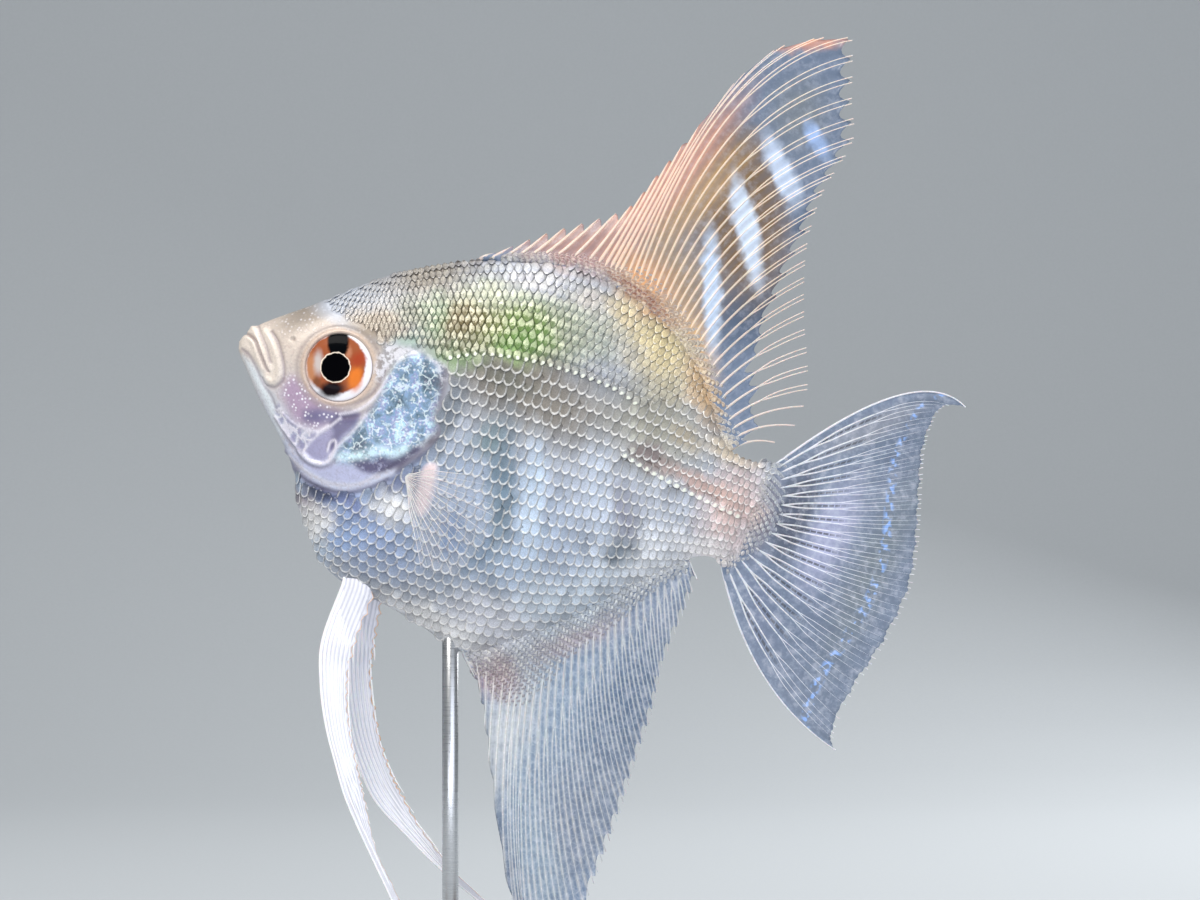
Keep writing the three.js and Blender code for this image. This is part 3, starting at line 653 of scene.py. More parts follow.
paleRidges = [line for kind, line, width, height in folds if kind == "paleRidge"]
grooves = [line for kind, line, width, height in folds if kind == "groove"]
finLobe = area(pectoralBase, 0.8)
faceMasks = {
    "face": lambda a, h: np.maximum(
        smooth(0.8, -0.8 - 3.0 * smooth(6, 8, h), within(scaledFlank, a, h)), finLobe(a, h)),
    "paleEdge": stroke(paleRidges + [gillPlate[1:13]], 0.2),
    # painted shade along the grooves of the head
    "darkFold": stroke(grooves, 0.26),
    "cheek": area([(8.6, -5.4), (10.2, -7.2), (11.7, -8.4), (13.9, -8.6), (15.5, -8.4), (16.9, -7.2),
                   (18.6, -5.6), (17.3, -4.8), (14.9, -4.6), (12.2, -3.4), (10, -2.2), (9, -2.4),
                   (8.4, -4)], 1.2),
    "cheekLow": area([(12.6, -6.6), (15, -5.4), (18, -5.0), (19.4, -4.6), (17.6, -6.4), (15.4, -7.8),
                      (13, -8)], 0.9),
    "cheekBack": area([(14.5, -12.4), (15, -10.6), (16.2, -8.9), (17.8, -7), (19.6, -4.9), (21, -4.4),
                       (20.8, -6.5), (19.6, -8.6), (18.9, -11), (17.8, -12.9), (16, -13.2)], 0.5),
    "cheekDark": area([(17.4, -5.6), (19.4, -4.4), (20.8, -4.6), (20.7, -6.4), (19.5, -8.2), (18.7, -10.8),
                       (17.7, -10.6), (17.9, -8.4), (16.8, -7)], 0.6),
    "jawCells": area([(8.6, -6.8), (10, -8.0), (11.7, -9.0), (14.2, -9.4), (15.6, -9.2), (14.8, -11),
                      (14.2, -12.6), (12, -11.6), (9.6, -9.6), (8.2, -8)], 0.6),
    "gill": area([(19.8, -12.2), (19.8, -9.8), (21.2, -6.6), (22.4, -3.6), (23.1, -0.4), (23.4, 3),
                  (24.4, 5.4), (26.6, 7.0), (29.2, 6.6), (30.8, 4.6), (31.3, 1.5), (31.4, -1.2),
                  (32.4, -3.2), (31.4, -5.6), (29.6, -7.9), (27.2, -9.6), (24, -11), (22, -11.9)], 1.1),
    "gillRim": area([(30.6, 6.8), (32.8, 5.2), (33.4, 1.5), (33.4, -1.4), (35, -3.2), (35, -6),
                     (32.8, -9.2), (30, -12), (28.6, -9.8), (31, -6.6), (32.2, -4), (31.2, -1.6), (31, 2),
                     (30.4, 4.8)], 0.6),
    "temple": area([(20.8, 4.4), (21.4, 7.6), (24, 8.8), (27.4, 9.2), (31, 8.4), (32.6, 5.6), (31, 4.4),
                    (29.6, 6.2), (27, 7), (24.6, 6), (22.9, 3.2), (22.4, 1.2), (21, 2)], 0.6),
    "gillLow": area([(12.6, -13.6), (15, -14.6), (18.8, -15.5), (21.1, -15.3), (23.3, -14.6), (25, -13.4),
                     (27.7, -10.2), (29, -8.4), (26, -9.6), (22.3, -11.6), (19.4, -12.8), (17.8, -13.7),
                     (15.8, -14)], 0.6),
    "gillDark": area([(21.6, -11.7), (24.6, -10.0), (27.6, -8.9), (30.4, -6.6), (31.2, -6.9), (29.2, -9.8),
                      (27.2, -11.6), (24.3, -12.6)], 0.5),
    "gillWhite": stroke([[(20.2, -11.4), (22.1, -10.7), (24.1, -9.7), (25.6, -8.6), (27.6, -8.5),
                          (29.0, -7.2)]], 0.7),
    "chin": area([(0.8, -1.6), (3, -4.2), (6, -7), (8.4, -10), (10.4, -12.4), (9.8, -9.6), (7.8, -6.8),
                  (5.8, -4.8), (3.4, -2.6)], 0.9),
    "lips": area([(-2, 4), (1.2, 3.6), (4.4, 2.9), (6.4, 0.4), (7.6, -2), (7.2, -4.4), (5.4, -4.4),
                  (3.4, -2.4), (1.2, -0.6), (-2, -1.5)], 0.8),
    "brow": lambda a, h: np.maximum(
        smooth(7.5, 1.0, body["back"](a) - h) * smooth(1.5, 7.5, a),
        0.8 * smooth(-3.2, -0.3, within(scaledFlank, a, h)) * smooth(4.5, 7, h)),
    "eyeRing": roundEye(5.6),
    "eyeShade": roundEye(6.4),
    "throat": area([(8, -10), (13, -14.4), (17, -16.2), (22, -16.2), (27, -13), (31, -8.8), (34, -5),
                    (34.2, -7), (30, -13), (25, -17), (20, -18.2), (14, -17.6), (8, -14)], 0.5),
    "finBase": finLobe,
}

# The face's colours, laid over one another in this order: mask, colour, strength
faceColours = [
    ("brow", "#8a8074", 0.9),
    ("lips", "#ebdfd2", 0.9),
    ("chin", "#f0f7fb", 0.95),
    ("temple", "#8a8f98", 0.7),
    ("cheek", "#b096b2", 0.9),
    ("cheekLow", "#6a698e", 0.85),
    ("cheekBack", "#9b97ba", 0.85),
    ("cheekDark", "#5e5a7c", 0.85),
    ("gill", "#8199ac", 0.9),
    ("gillRim", "#5f5868", 0.85),
    ("gillLow", "#b3b6d4", 0.85),
    ("throat", "#84829f", 0.85),
    # painted shade in the grooves
    ("darkFold", "#6f6074", 0.5),
    ("paleEdge", "#f3eef8", 0.8),
    ("eyeRing", "#cdb39e", 0.7),
    ("eyeShade", "#8d7f7c", 0.5),
    ("finBase", "#f6dfdd", 0.9),
]
gillColours = {
    "clouds": [  # from dark to light
        (0.34, "#3c4a60"), (0.42, "#567384"), (0.48, "#7692ac"), (0.53, "#84a8cc"), (0.57, "#9896c6"),
        (0.62, "#b0dfee"), (0.68, "#f2fcff")],
    "bands": [("gillDark", "#433c62", 0.9), ("gillWhite", "#d8f4fb", 0.85)],
}


def makeSkinMaterial():
    # Moist fish skin: thin slime coat over silvery guanine, so broad soft highlights on a pearly ground
    material, add = newMaterial("moistFishSkin", **{
        "Metallic": 0.1, "Roughness": 0.38, "IOR": 1.36, "Coat Weight": 0.3, "Coat Roughness": 0.14})
    place = levelPlace(add)
    mask = {name: add("carried", attribute_name=name) for name in faceMasks}
    gill = mask["gill"]

    # Fleshy ground of the face, cream above and cooler towards the throat
    depth = add("separate", place)["Z"]
    colour = layered(add, tint("#d6c9bd"), (add("ease", depth, 2.0, -14.0), "#cdd3e6"), (
        add("ease", add("noise", place, 1.1, 5.0, 0.6), 0.45, 0.7, 0.0, 0.4), "#c9b4ac"))
    for name, code, strength in faceColours:
        colour = layered(add, colour, (product(add, mask[name], strength), code))

    # Iridescent gill cover: slate, teal and violet clouds under a fine pale net and glints
    clouds = add("ShaderNodeValToRGB", {"Fac": add("noise", place, 0.34, 6.0, 0.66)})[0]
    stops = clouds.node.color_ramp.elements
    first, *between, last = gillColours["clouds"]
    for stop, (position, code) in zip(stops, (first, last)):
        stop.position, stop.color = position, tint(code)
    for position, code in between:
        stops.new(position).color = tint(code)
    colour = add("mix", product(add, gill, 0.85), colour, clouds)
    drift = add("ShaderNodeTexNoise", {"Vector": place, "Scale": 1.1, "Detail": 4.0})["Color"]
    warped = add("moved", place, add("scale", drift, 1.3))
    broken = add("ease", add("noise", place, 0.8, 2.0, 0.6), 0.4, 0.55)
    netted = product(add, add("ease", add("cellEdge", warped, 0.62), 0.1, 0.03), broken, gill)
    colour = layered(add, colour, (product(add, netted, 0.6), "#f2ffff"))
    worn = add("ease", add("noise", place, 1.3, 3.0, 0.6), 0.3, 0.5, 0.4, 1.0)
    for name, code, strength in gillColours["bands"]:
        colour = layered(add, colour, (product(add, mask[name], worn, strength), code))

    # Larger cells under the cheek and along the jaw, mauve with pale rims
    large = add("cellEdge", warped, 0.42)
    rims = product(add, mask["jawCells"], add("ease", large, 0.1, 0.02, 0.0, 0.75))
    colour = layered(
        add, colour, (product(add, mask["jawCells"], add("ease", large, 0.05, 0.2, 0.0, 0.85)), "#9b98bc"),
        (rims, "#eee9f4"))

    # Bright flecks, the small embedded scales, about 0.4 mm, and dusky pores between them
    fleck = add("ShaderNodeTexVoronoi", {"Vector": place, "Scale": 1.75, "Randomness": 0.85})
    bright = add("ease", add("separate", fleck["Color"])["X"], 0.25, 0.7)
    dots = product(add, add("ease", fleck["Distance"], 0.46, 0.18), bright)
    where = add("maximum", mask["cheek"], product(add, mask["brow"], 0.45))
    where = add("maximum", where, product(add, gill, 0.5))
    patch = product(add, mask["temple"], add("ease", add("noise", place, 0.75, 5.0, 0.6), 0.48, 0.56), 0.7)
    dusk = add("ease", add("noise", place, 2.6, 4.0, 0.7), 0.52, 0.36, 0.0, 0.2)
    dotted = product(add, dots, where)
    colour = layered(add, colour, (dotted, "#fbf8ff"), (patch, "#f1f0f6"), (dusk, "#6b6470"))
    colour = add("mix", mask["face"], add("group", node_tree=bodyMarkings), colour)
    height = add("noise", place, 2.4, 5.0, 0.7)
    for more in (product(add, dots, 0.5), netted, rims):
        height = add("add", height, more)
    return finished(material, colour, Normal=add("bump", height, 0.35, 0.12 * mm))


fishSkin = makeSkin()
fishSkin.data.materials.append(makeSkinMaterial())
fit(fishSkin, "face_skin", "head", "jaw_upper", "jaw_lower", "gill_cover_left", "gill_cover_right", "trunk",
    "tail_stem")
print("skin ready:", len(fishSkin.data.polygons), "faces")


def newTree(name, inputs):  # a Geometry Nodes tree, its named inputs and the function that adds nodes
    tree = bpy.data.node_groups.new(name, "GeometryNodeTree")
    for label, kind, value in [("Geometry", "NodeSocketGeometry", None)] + inputs:
        socket = tree.interface.new_socket(label, in_out="INPUT", socket_type=kind)
        if value is not None:
            socket.default_value = value
    tree.interface.new_socket("Geometry", in_out="OUTPUT", socket_type="NodeSocketGeometry")
    return tree, nodesOf(tree)


def endTree(add, geometry, material):  # real geometry in its material, as the export needs it
    joined = add("GeometryNodeRealizeInstances", {"Geometry": geometry})[0]
    add("NodeGroupOutput", {0: add("GeometryNodeSetMaterial", {"Geometry": joined, "Material": material})[0]})


def realised(carrier, tree, values):  # runs the tree on the carrier and keeps the result as a plain mesh
    name = carrier.name
    modifier = carrier.modifiers.new("shape", "NODES")
    modifier.node_group = tree
    for item in tree.interface.items_tree:
        if item.in_out == "INPUT" and item.name in values:
            modifier[item.identifier] = values[item.name]
    graph = bpy.context.evaluated_depsgraph_get()
    mesh = bpy.data.meshes.new_from_object(carrier.evaluated_get(graph), preserve_all_data_layers=True,
                                           depsgraph=graph)
    carrier.modifiers.remove(modifier)
    bpy.data.objects.remove(carrier)
    mesh.name = name
    return linked(name, mesh)


def pointCarrier(name, points, attributes, edges=()):  # points, or lines, with what each one carries
    mesh = bpy.data.meshes.new(name)
    mesh.from_pydata(np.asarray(points).tolist(), list(edges), [])
    for key, values in attributes.items():
        setAttribute(mesh, key, values)
    return linked(name, mesh)


def makeCoatTree():  # a scale on each point, standing on its outward direction and lying along its row
    tree, add = newTree("scaleCoat", [
        ("Scale Shape", "NodeSocketObject", None), ("Material", "NodeSocketMaterial", None),
        ("Overlap", "NodeSocketFloat", 1.0), ("Unevenness", "NodeSocketFloat", 0.05),
        ("Seed", "NodeSocketInt", 4)])
    given = add("NodeGroupInput")
    facing = add("FunctionNodeAxesToRotation", {0: add("named", "outward"), 1: add("named", "along")},
                 primary_axis="Z", secondary_axis="X")[0]
    jitter = add("FunctionNodeRandomValue", {
        "Min": product(add, given["Unevenness"], -1.0), "Max": given["Unevenness"], "Seed": given["Seed"]},
        data_type="FLOAT_VECTOR")[0]
    rocked = add("FunctionNodeRotateRotation", {0: facing, 1: jitter}, rotation_space="LOCAL")[0]
    placed = add("GeometryNodeInstanceOnPoints", {
        "Points": given["Geometry"], "Rotation": rocked,
        "Instance": add("GeometryNodeObjectInfo", {"Object": given["Scale Shape"]})["Geometry"],
        "Scale": add("scale", add("named", "extent"), given["Overlap"])})[0]
    endTree(add, placed, given["Material"])
    return tree


def makeRayTree():  # a tapered round ray along each line
    tree, add = newTree("finRays", [
        ("Material", "NodeSocketMaterial", None), ("Sides", "NodeSocketInt", 6),
        ("Thickness", "NodeSocketFloat", 1.0)])
    given = add("NodeGroupInput")
    curve = add("GeometryNodeMeshToCurve", {"Mesh": given["Geometry"]})[0]
    thick = product(add, add("named", "thick", data_type="FLOAT"), given["Thickness"])
    sized = add("GeometryNodeSetCurveRadius", {"Curve": curve, "Radius": thick})[0]
    ring = add("GeometryNodeCurvePrimitiveCircle", {"Resolution": given["Sides"], "Radius": 1.0})[0]
    tube = add("GeometryNodeCurveToMesh", {
        "Curve": sized, "Profile Curve": ring, "Scale": thick, "Fill Caps": True})[0]
    endTree(add, add("GeometryNodeSetShadeSmooth", {"Geometry": tube})[0], given["Material"])
    return tree


coatTree = makeCoatTree()
rayTree = makeRayTree()


# Fins: where their rays run. A plan's row: ray, tip a, tip h, lean of the root in degrees, bend outwards.
# Skin: how opaque it is at the root (solid) and the tip (thin), and how mottled. Bone: the look of the rays
dorsal = {
    "node": "fin_dorsal", "rays": 40, "spines": 14,
    "foot": curveThrough([(0, 31), (3, 36), (6, 41.4), (8, 46.2), (10, 48.9), (13, 51.4), (14, 52.7),
                          (39, 76.4)]),
    "plan": [
        (0, 32.6, 25.4, 45, 0.35), (3, 39, 30.7, 50, 0.4), (6, 46, 35.4, 57, 0.45), (8, 50, 38.7, 68, 0.5),
        (10, 52.3, 44.2, 77, 0.5), (13, 56.2, 53.8, 81, 0.5), (14, 59.8, 62.4, 86, 0.6),
        (15, 64.2, 68.7, 88, 0.68), (16, 69.5, 71.9, 90, 0.72), (17, 74.1, 73.3, 90, 0.73),
        (18, 75.3, 70.5, 89, 0.7), (20, 77.2, 64.2, 87, 0.66), (22, 79.2, 58.5, 84, 0.6),
        (25, 77.3, 49.5, 80, 0.55), (28, 77.5, 41, 76, 0.5), (32, 80.3, 31, 68, 0.5),
        (36, 84.3, 20.6, 60, 0.5), (38, 84.3, 14.4, 55, 0.5), (39, 82.2, 11, 50, 0.5)],
    "sway": lambda ray, t: 1.6 * t * t * np.sin(ray * 0.16 + 0.5),
    "sheath": lambda ray: (
        0.3 + 0.9 * smooth(1, 7, ray) + 1.2 * smooth(6, 16, ray) - 0.6 * smooth(26, 39, ray)),
    "flesh": 0.42, "fork": [(0.5, 0.13)], "lastFork": 37, "radius": (0.34, 0.2), "softRadius": (0.26, 0.13),
    "bare": 2.2, "cells": 6, "rows": 40,
    "skin": {"solid": 0.92, "thin": 0.8, "cloudy": 0.15},
    "bone": {"colour": "#ffead6", "share": 0.62, "segments": 30.0, "dusky": 0.12, "joints": 0.0},
}
anal = {
    "node": "fin_anal", "rays": 32, "spines": 6,
    "foot": curveThrough([(0, 47.3), (5, 54.2), (6, 55), (31, 75.4)]),
    "plan": [
        (0, 49.6, -37.2, -48, 0.4), (1, 51.6, -40.4, -62, 0.45), (2, 53.4, -44, -72, 0.5),
        (3, 55.6, -48.8, -78, 0.5), (4, 58.6, -55.2, -80, 0.5), (5, 63.4, -64.6, -82, 0.52),
        (6, 67.4, -70.8, -82, 0.55), (7, 72.7, -78.5, -82, 0.56), (8, 80.8, -91.2, -82, 0.56),
        (9, 78.2, -83.5, -82, 0.55), (10, 76.9, -77.3, -81, 0.55), (12, 76.4, -69, -80, 0.52),
        (14, 76.8, -61, -79, 0.5), (17, 77.2, -51, -78, 0.5), (20, 77.2, -42.5, -76, 0.5),
        (23, 77.2, -34, -74, 0.5), (26, 76.4, -26.5, -70, 0.5), (29, 77, -18, -62, 0.5),
        (31, 77.3, -12.6, -52, 0.5)],
    "sway": lambda ray, t: -1.4 * t * t * np.sin(ray * 0.2 + 0.9),
    "sheath": lambda ray: 3 + 6.5 * smooth(0, 5, ray) - 4.5 * smooth(7, 16, ray) - 3.4 * smooth(16, 28, ray),
    "flesh": 0.42, "fork": [(0.26, 0.24)], "lastFork": 40, "radius": (0.26, 0.12), "softRadius": (0.2, 0.1),
    "bare": 0.3, "cells": 6, "rows": 36,
    "skin": {"solid": 0.92, "thin": 0.8, "cloudy": 0.3, "bands": 0.38},
    "bone": {"colour": "#f0efea", "share": 0.5, "segments": 30.0, "dusky": 0.2, "joints": 0.25},
}
caudal = {
    "node": "fin_tail", "rays": 17, "spines": 0,
    "plan": [
        (0, 108.2, 25.1, 55, 0.9), (1, 104.9, 24, 50, 0.78), (3, 104.3, 18.2, 34, 0.55),
        (5, 105.6, 12.4, 20, 0.5), (8, 108, 3, 2, 0.5), (10, 108.9, -4.2, -12, 0.5),
        (12, 107.7, -12.8, -26, 0.5), (14, 105.2, -21.8, -44, 0.52), (15, 104.3, -28, -52, 0.56),
        (16, 105.4, -30.8, -60, 0.6)],
    "sway": lambda ray, t: 1.5 * t * t * np.sin(ray * 0.33 - 0.4),
    "sheath": lambda ray: 3.2 + 1.6 * np.cos((ray / 16 - 0.5) * 2 * np.pi),
    "flesh": 0.6, "fork": [(0.14, 0.22), (0.48, 0.115)], "lastFork": 40, "radius": (0.24, 0.14),
    "softRadius": (0.22, 0.11), "bare": 0.3, "cells": 8, "rows": 40,
    "skin": {"solid": 0.9, "thin": 0.72, "cloudy": 0.3, "cores": 0.85, "spots": 0.85},
    "bone": {"colour": "#f4f4f8", "share": 0.72, "segments": 26.0, "dusky": 0.25, "joints": 0.3},
}
for fin in (dorsal, anal, caudal):
    numbers, *columns = zip(*fin["plan"])
    fin["tipA"], fin["tipH"], fin["lean"], fin["bend"] = (
        curveThrough(list(zip(numbers, column))) for column in columns)


def finFoot(fin, ray):
    if fin is caudal:
        h = 7.6 - 17.2 * ray / (fin["rays"] - 1)
        return stemEndAt(h), h
    a = fin["foot"](ray)
    return (a, body["back"](a) + 0.5) if fin is dorsal else (a, body["belly"](a) - 0.5)


def stemEndAt(h):  # the tail fin's root is slanted
    return 81.9 + 0.17 * h


def rayLength(fin, ray):
    footA, footH = finFoot(fin, ray)
    return np.hypot(fin["tipA"](ray) - footA, fin["tipH"](ray) - footH)


def rayPoint(fin, ray, t):  # level (a, y, h) of a place t along a ray, also between two rays
    footA, footH = finFoot(fin, ray)
    toElbow = fin["bend"](ray) * rayLength(fin, ray)
    lean = np.radians(fin["lean"](ray))
    s = 1 - t
    a, h = (s * s * foot + 2 * s * t * (foot + toElbow * way) + t * t * tip for foot, way, tip in (
        (footA, np.cos(lean), fin["tipA"](ray)), (footH, np.sin(lean), fin["tipH"](ray))))
    return np.stack([a, fin["sway"](ray, t), h], axis=-1)


def rayRoot(fin, ray, depth=1.5):  # the t at which a ray starts, inside the flesh
    return -depth / (2 * fin["bend"](ray) * rayLength(fin, ray))


def drop(fin, ray):  # mm from the tips of the rays back to the membrane's edge
    f = ray - np.floor(ray)
    arch = np.sin(np.pi * f)
    if fin is caudal:
        return 0.25 + 0.35 * arch + 0.2 * np.abs(np.sin(4 * np.pi * f))
    spiny = 0.1 + 3.2 * f**1.4
    if fin is anal:
        return np.where(ray < fin["spines"], spiny, 0.35 + 1.3 * arch)
    reach = rayLength(fin, ray)
    free = smooth(26, 35, ray)  # the last rays stand free of the membrane
    soft = 0.35 + (1.9 - 0.6 * free) * arch
    soft = soft + free * (0.5 * reach + 0.6 * np.sin(ray * 2.3) + 0.4 * np.sin(ray * 5.1 + 1))
    return np.where(ray < fin["spines"], np.minimum(spiny, 0.75 * reach), soft)


def finHalf(fin, ray, t):  # half the thickness: a fleshy, scaled root that thins to the membrane
    away = t * rayLength(fin, ray)
    fleshy = np.clip(1 - away / (fin["sheath"](ray) + 1.2), 0, 1)
    return 0.065 + fin["flesh"] * fleshy**1.5 * (0.3 + 0.7 * smooth(0, 4, ray))


# Scales
coat = {
    "spacing": 1.4,  # mm from scale to scale along a row, mid flank
    "halfLength": 0.62,  # of the spacing
    "halfHeight": 0.84,  # of the distance between rows
    "tongue": 0.6,  # share of the half height that the rounded lower end takes
    "round": 1.75,  # 2 is an elliptic lower end, less is more pointed
    "backTongue": 0.95,
    "backRound": 1.3,
    "liftAft": 0.09,  # mm that the rear edge stands over the fore one
    "liftDown": 0.17,  # mm that the lower edge stands over the upper one
    "patch": 0.003,  # of the unwrap, taken by one scale
    "dome": 0.05,
    "thick": 0.07,
    "backMargin": 0.14,  # mm left bare under the ridge of the back
    "bellyMargin": 0.455,  # and over the belly's
    "eyeMargin": 7.2,  # mm from the eye's middle to the nearest scale
    "sheathSpacing": 1.12,
    "foreEnd": 44.0,  # the flank's coat is made in two pieces that meet here
}
# How the scales are coloured: the bright rim and the back's caps are painted highlights, the gap under each
# cap painted shade
coatLook = {
    "darkest": 0.66,  # share of the ground colour kept by the duskiest scale
    "lightest": 0.96,
    "rim": (0.64, 0.84),  # how far out the bright rim starts and is full
    "rimHighlight": 0.72,
    "gap": 0.55,
    "capHighlight": 0.5,
}
# The lateral line's own scales, and the mm round it that are kept clear of others
lateral = {"spacing": 1.3, "length": 1.2, "height": 0.95, "stands": 0.04, "clear": 0.5}
lateralLine = [[(30.9, 8.2), (36, 10.5), (44, 11.8), (52, 11.9), (57, 11.4), (60.6, 10.3)],
               [(60.9, 2.4), (66, 1.2), (72, 0.1), (81.2, -1.2)]]
canalStep = [(60.5, 9.8), (61.6, 5.6), (61.9, 1.8)]
# The back above it, whose scales catch the light
lateralBack = rounded([
    (8, 8.5), (20, 8.2), (30.9, 8.2), (36, 10.5), (44, 11.8), (52, 11.9), (57, 11.4), (60.6, 10.3),
    (65, 12.6), (70, 14), (80, 14), (80, 40), (8, 40)])
rowAxis = curveThrough([(8, -3.2), (30, -2.5), (50, -2), (66, -1.5), (83, -1)])
rearward = curveThrough([(8, 1), (48, 1), (58, 0.93), (66, 0.82), (74, 0.68), (83, 0.56)])
napeward = curveThrough([(8, 0.62), (18, 0.68), (28, 0.84), (40, 0.99), (44, 1), (83, 1)])
chestward = curveThrough([(8, 0.8), (18, 0.86), (34, 1), (83, 1)])
backward = curveThrough([(8, 0.62), (18, 0.64), (28, 0.78), (38, 0.96), (44, 1), (83, 1)])
# Rows of the flank and the finer ones of the back: where they start, first and last, their distance and step
lattices = {
    "flank": {
        "start": 0, "rows": (-36, 24), "loose": 0.03, "afresh": 13,
        "pitch": curveThrough([(-40, 1.25), (-27, 1.42), (-18, 1.72), (-9, 2.02), (24, 2.08)]),
        "step": lambda a: coat["spacing"] * rearward(a) ** 0.75 * (1 - 0.6 * (1 - chestward(a)))},
    "back": {
        "start": 14, "rows": (4, 46), "loose": 0.05, "afresh": 6.5, "pitch": lambda v: 1.52,
        "step": lambda a: 1.14 * rearward(a) ** 0.75 * backward(a)},
}


def scaleShape(side, tongue, roundness):  # one scale: a tongue that stands off at its rear and lower edges
    wide = np.array([-1, -0.55, 0, 0.55, 1])
    tall = np.array([-1, -0.9, -0.7, -0.4, 0.1, 0.6, 1])
    y, x = (grid.ravel() for grid in np.meshgrid(tall, wide, indexing="ij"))
    narrow = np.clip((np.abs(y) - 1 + tongue) / tongue, 0, 0.98)
    px = x * (1 - narrow**roundness) ** (1 / roundness)
    z = coat["liftAft"] * (px + 1) / 2 + coat["liftDown"] * (1 - y) / 2 + coat["dome"] * (1 - px**2)
    count = len(px)
    at = np.arange(count).reshape(len(tall), len(wide))
    top = np.stack([at[:-1, :-1], at[:-1, 1:], at[1:, 1:], at[1:, :-1]], -1).reshape(-1, 4).tolist()
    loop = np.concatenate([at[0, :], at[1:, -1], at[-1, -2::-1], at[-2:0:-1, 0]])
    under = count + np.arange(len(loop))
    points = np.column_stack([px, y, z])
    points = np.vstack([points, points[loop] * (0.96, 0.98, 1) - (0, 0, coat["thick"])])
    sides = np.column_stack([loop, under, np.roll(under, -1), np.roll(loop, -1)]).tolist()
    faces = top + sides + [under[::-1].tolist()]
    if side > 0:  # on the right the same outward and rearward directions leave the other end upward
        faces = [face[::-1] for face in faces]
    shape = makeMesh("scale_shape", points * (1, -side, 1), faces)
    shape.data.polygons.foreach_set("use_smooth", np.arange(len(faces)) < len(top))
    setAttribute(shape.data, "scaleAt", points * (1, 1, 0))
    return shape


def rowHeight(a, offset):  # the rows spread from the tail; offset is their distance from the axis in mid body
    upper = smooth(-2, 12, offset)
    return rowAxis(a) + offset * rearward(a) * (upper * napeward(a) + (1 - upper) * chestward(a))


def latticeRows(lattice):  # a, h, slope, spacing and height of the scales on rows crossed by square columns
    fine = 0.05
    stations = np.arange(-12, 100, fine)
    phase = np.cumsum(fine / lattice["step"](stations))
    columns = np.interp(np.arange(math.ceil(2 * phase[0]), 2 * phase[-1]) / 2, phase, stations)
    least, most = lattice["rows"]
    places = []
    for way in (1, -1):
        a, offset, odd, since = columns, lattice["start"], 0, 0
        while least < offset < most:
            tall = float(lattice["pitch"](offset))
            slope = rowHeight(a + 0.5, offset) - rowHeight(a - 0.5, offset)
            lean = np.sqrt(1 + slope**2)
            apart = np.abs(rowHeight(a, offset + tall) - rowHeight(a, offset))
            if way > 0 or offset != lattice["start"]:
                spacing = np.gradient(a)[odd::2] * 2 * lean[odd::2]
                loose = rng.normal(0, lattice["loose"], (2, len(spacing)))
                places.append(np.column_stack([
                    a[odd::2] + loose[0] * spacing, rowHeight(a[odd::2], offset) + loose[1] * 1.3,
                    slope[odd::2], spacing, (apart / lean)[odd::2]]))
            a = a - way * slope / lean**2 * apart
            offset += way * tall
            odd = 1 - odd
            since += tall
            if since > lattice["afresh"]:  # the columns start afresh before they crowd or gape
                a, since = columns, 0
    return np.vstack(places)


def lateralRows():  # the scales of the lateral line itself
    places = []
    for line in lateralLine:
        line = rounded(line)
        along = alongLine(line)
        stops = np.arange(0, along[-1], lateral["spacing"])
        columns = (*line.T, np.gradient(line[:, 1], line[:, 0]))
        size = np.tile([lateral["length"], lateral["height"]], (len(stops), 1))
        places.append(np.column_stack([*(np.interp(stops, along, column) for column in columns), size]))
    return np.vstack(places)


def flankCarriers():  # what the flank's scales carry, for each side
    rows = []
    for name, onBack in (("flank", False), ("back", True)):
        scales = latticeRows(lattices[name])
        rows.append(scales[(within(lateralBack, *scales[:, :2].T) > 0) == onBack])
    both, own = np.vstack(rows), lateralRows()
    away = np.min([fromLine(rounded(line), *both[:, :2].T) for line in lateralLine], axis=0)
    clear = away > lateral["clear"]
    every = np.vstack([both[clear], own])
    stands = np.repeat([0, lateral["stands"]], [clear.sum(), len(own)])
    a, h = every[:, :2].T
    keep = (within(scaledFlank, a, h) > 0.1) & (within(roundedOutline(pectoralBase), a, h) < 0.2)
    keep &= (h < body["back"](a) - coat["backMargin"]) & (h > body["belly"](a) + coat["bellyMargin"])
    keep &= (a < stemEndAt(h) + 0.1) & (fromEye(a, h) > coat["eyeMargin"])
    a, h, slope, spacing, tall = every[keep].T
    stands = stands[keep]
    canal = np.where(stands > 0, 1.0, 0.0) + 0.4 * np.exp(-(fromLine(canalStep, a, h) / 0.7) ** 4)
    behind = within(lateralBack, a, h)
    # upper: how much of each scale is drawn as a painted highlight cap over painted shade; on the back above
    # the lateral line, less aft and near the ridge of the back
    upper = smooth(-1.5, 0.5, behind) * (1 - 0.75 * smooth(42, 55, a)) * smooth(6, 27, a)
    upper *= 1 - 0.7 * smooth(9, 3, body["back"](a) - h)
    order = rng.normal(0, 0.7, len(a))
    low = np.clip(tall / 1.9, 0.4, 1)  # smaller scales stand off less
    sunk = (coat["liftAft"] + coat["liftDown"]) * 0.75 * low - stands
    fromBack = np.abs(np.arcsin(np.clip(flankRise(a, h), -1, 1)) / np.pi - 0.5) / 2
    sides = {}
    for side in (-1, 1):
        outward = flankNormal(a, h, side)
        across = side * (flank(a + 0.5, h + slope / 2) - flank(a - 0.5, h - slope / 2))
        turn = fromBack if side < 0 else 1 - fromBack
        sides[side] = {
            "level": np.column_stack([a, side * flank(a, h), h]) - outward * sunk[:, None],
            "outward": outward, "along": np.column_stack([np.ones_like(a), across, slope]),
            "extent": np.column_stack([spacing * coat["halfLength"], tall * coat["halfHeight"], low]),
            "back": behind > 0,
            "look": np.column_stack([np.clip(order, -2, 2), np.clip(canal, 0, 1), upper]),
            "root": np.column_stack([unwrapAlong(a), 0.01 + 0.98 * turn, np.zeros_like(a)]),
        }
    return sides


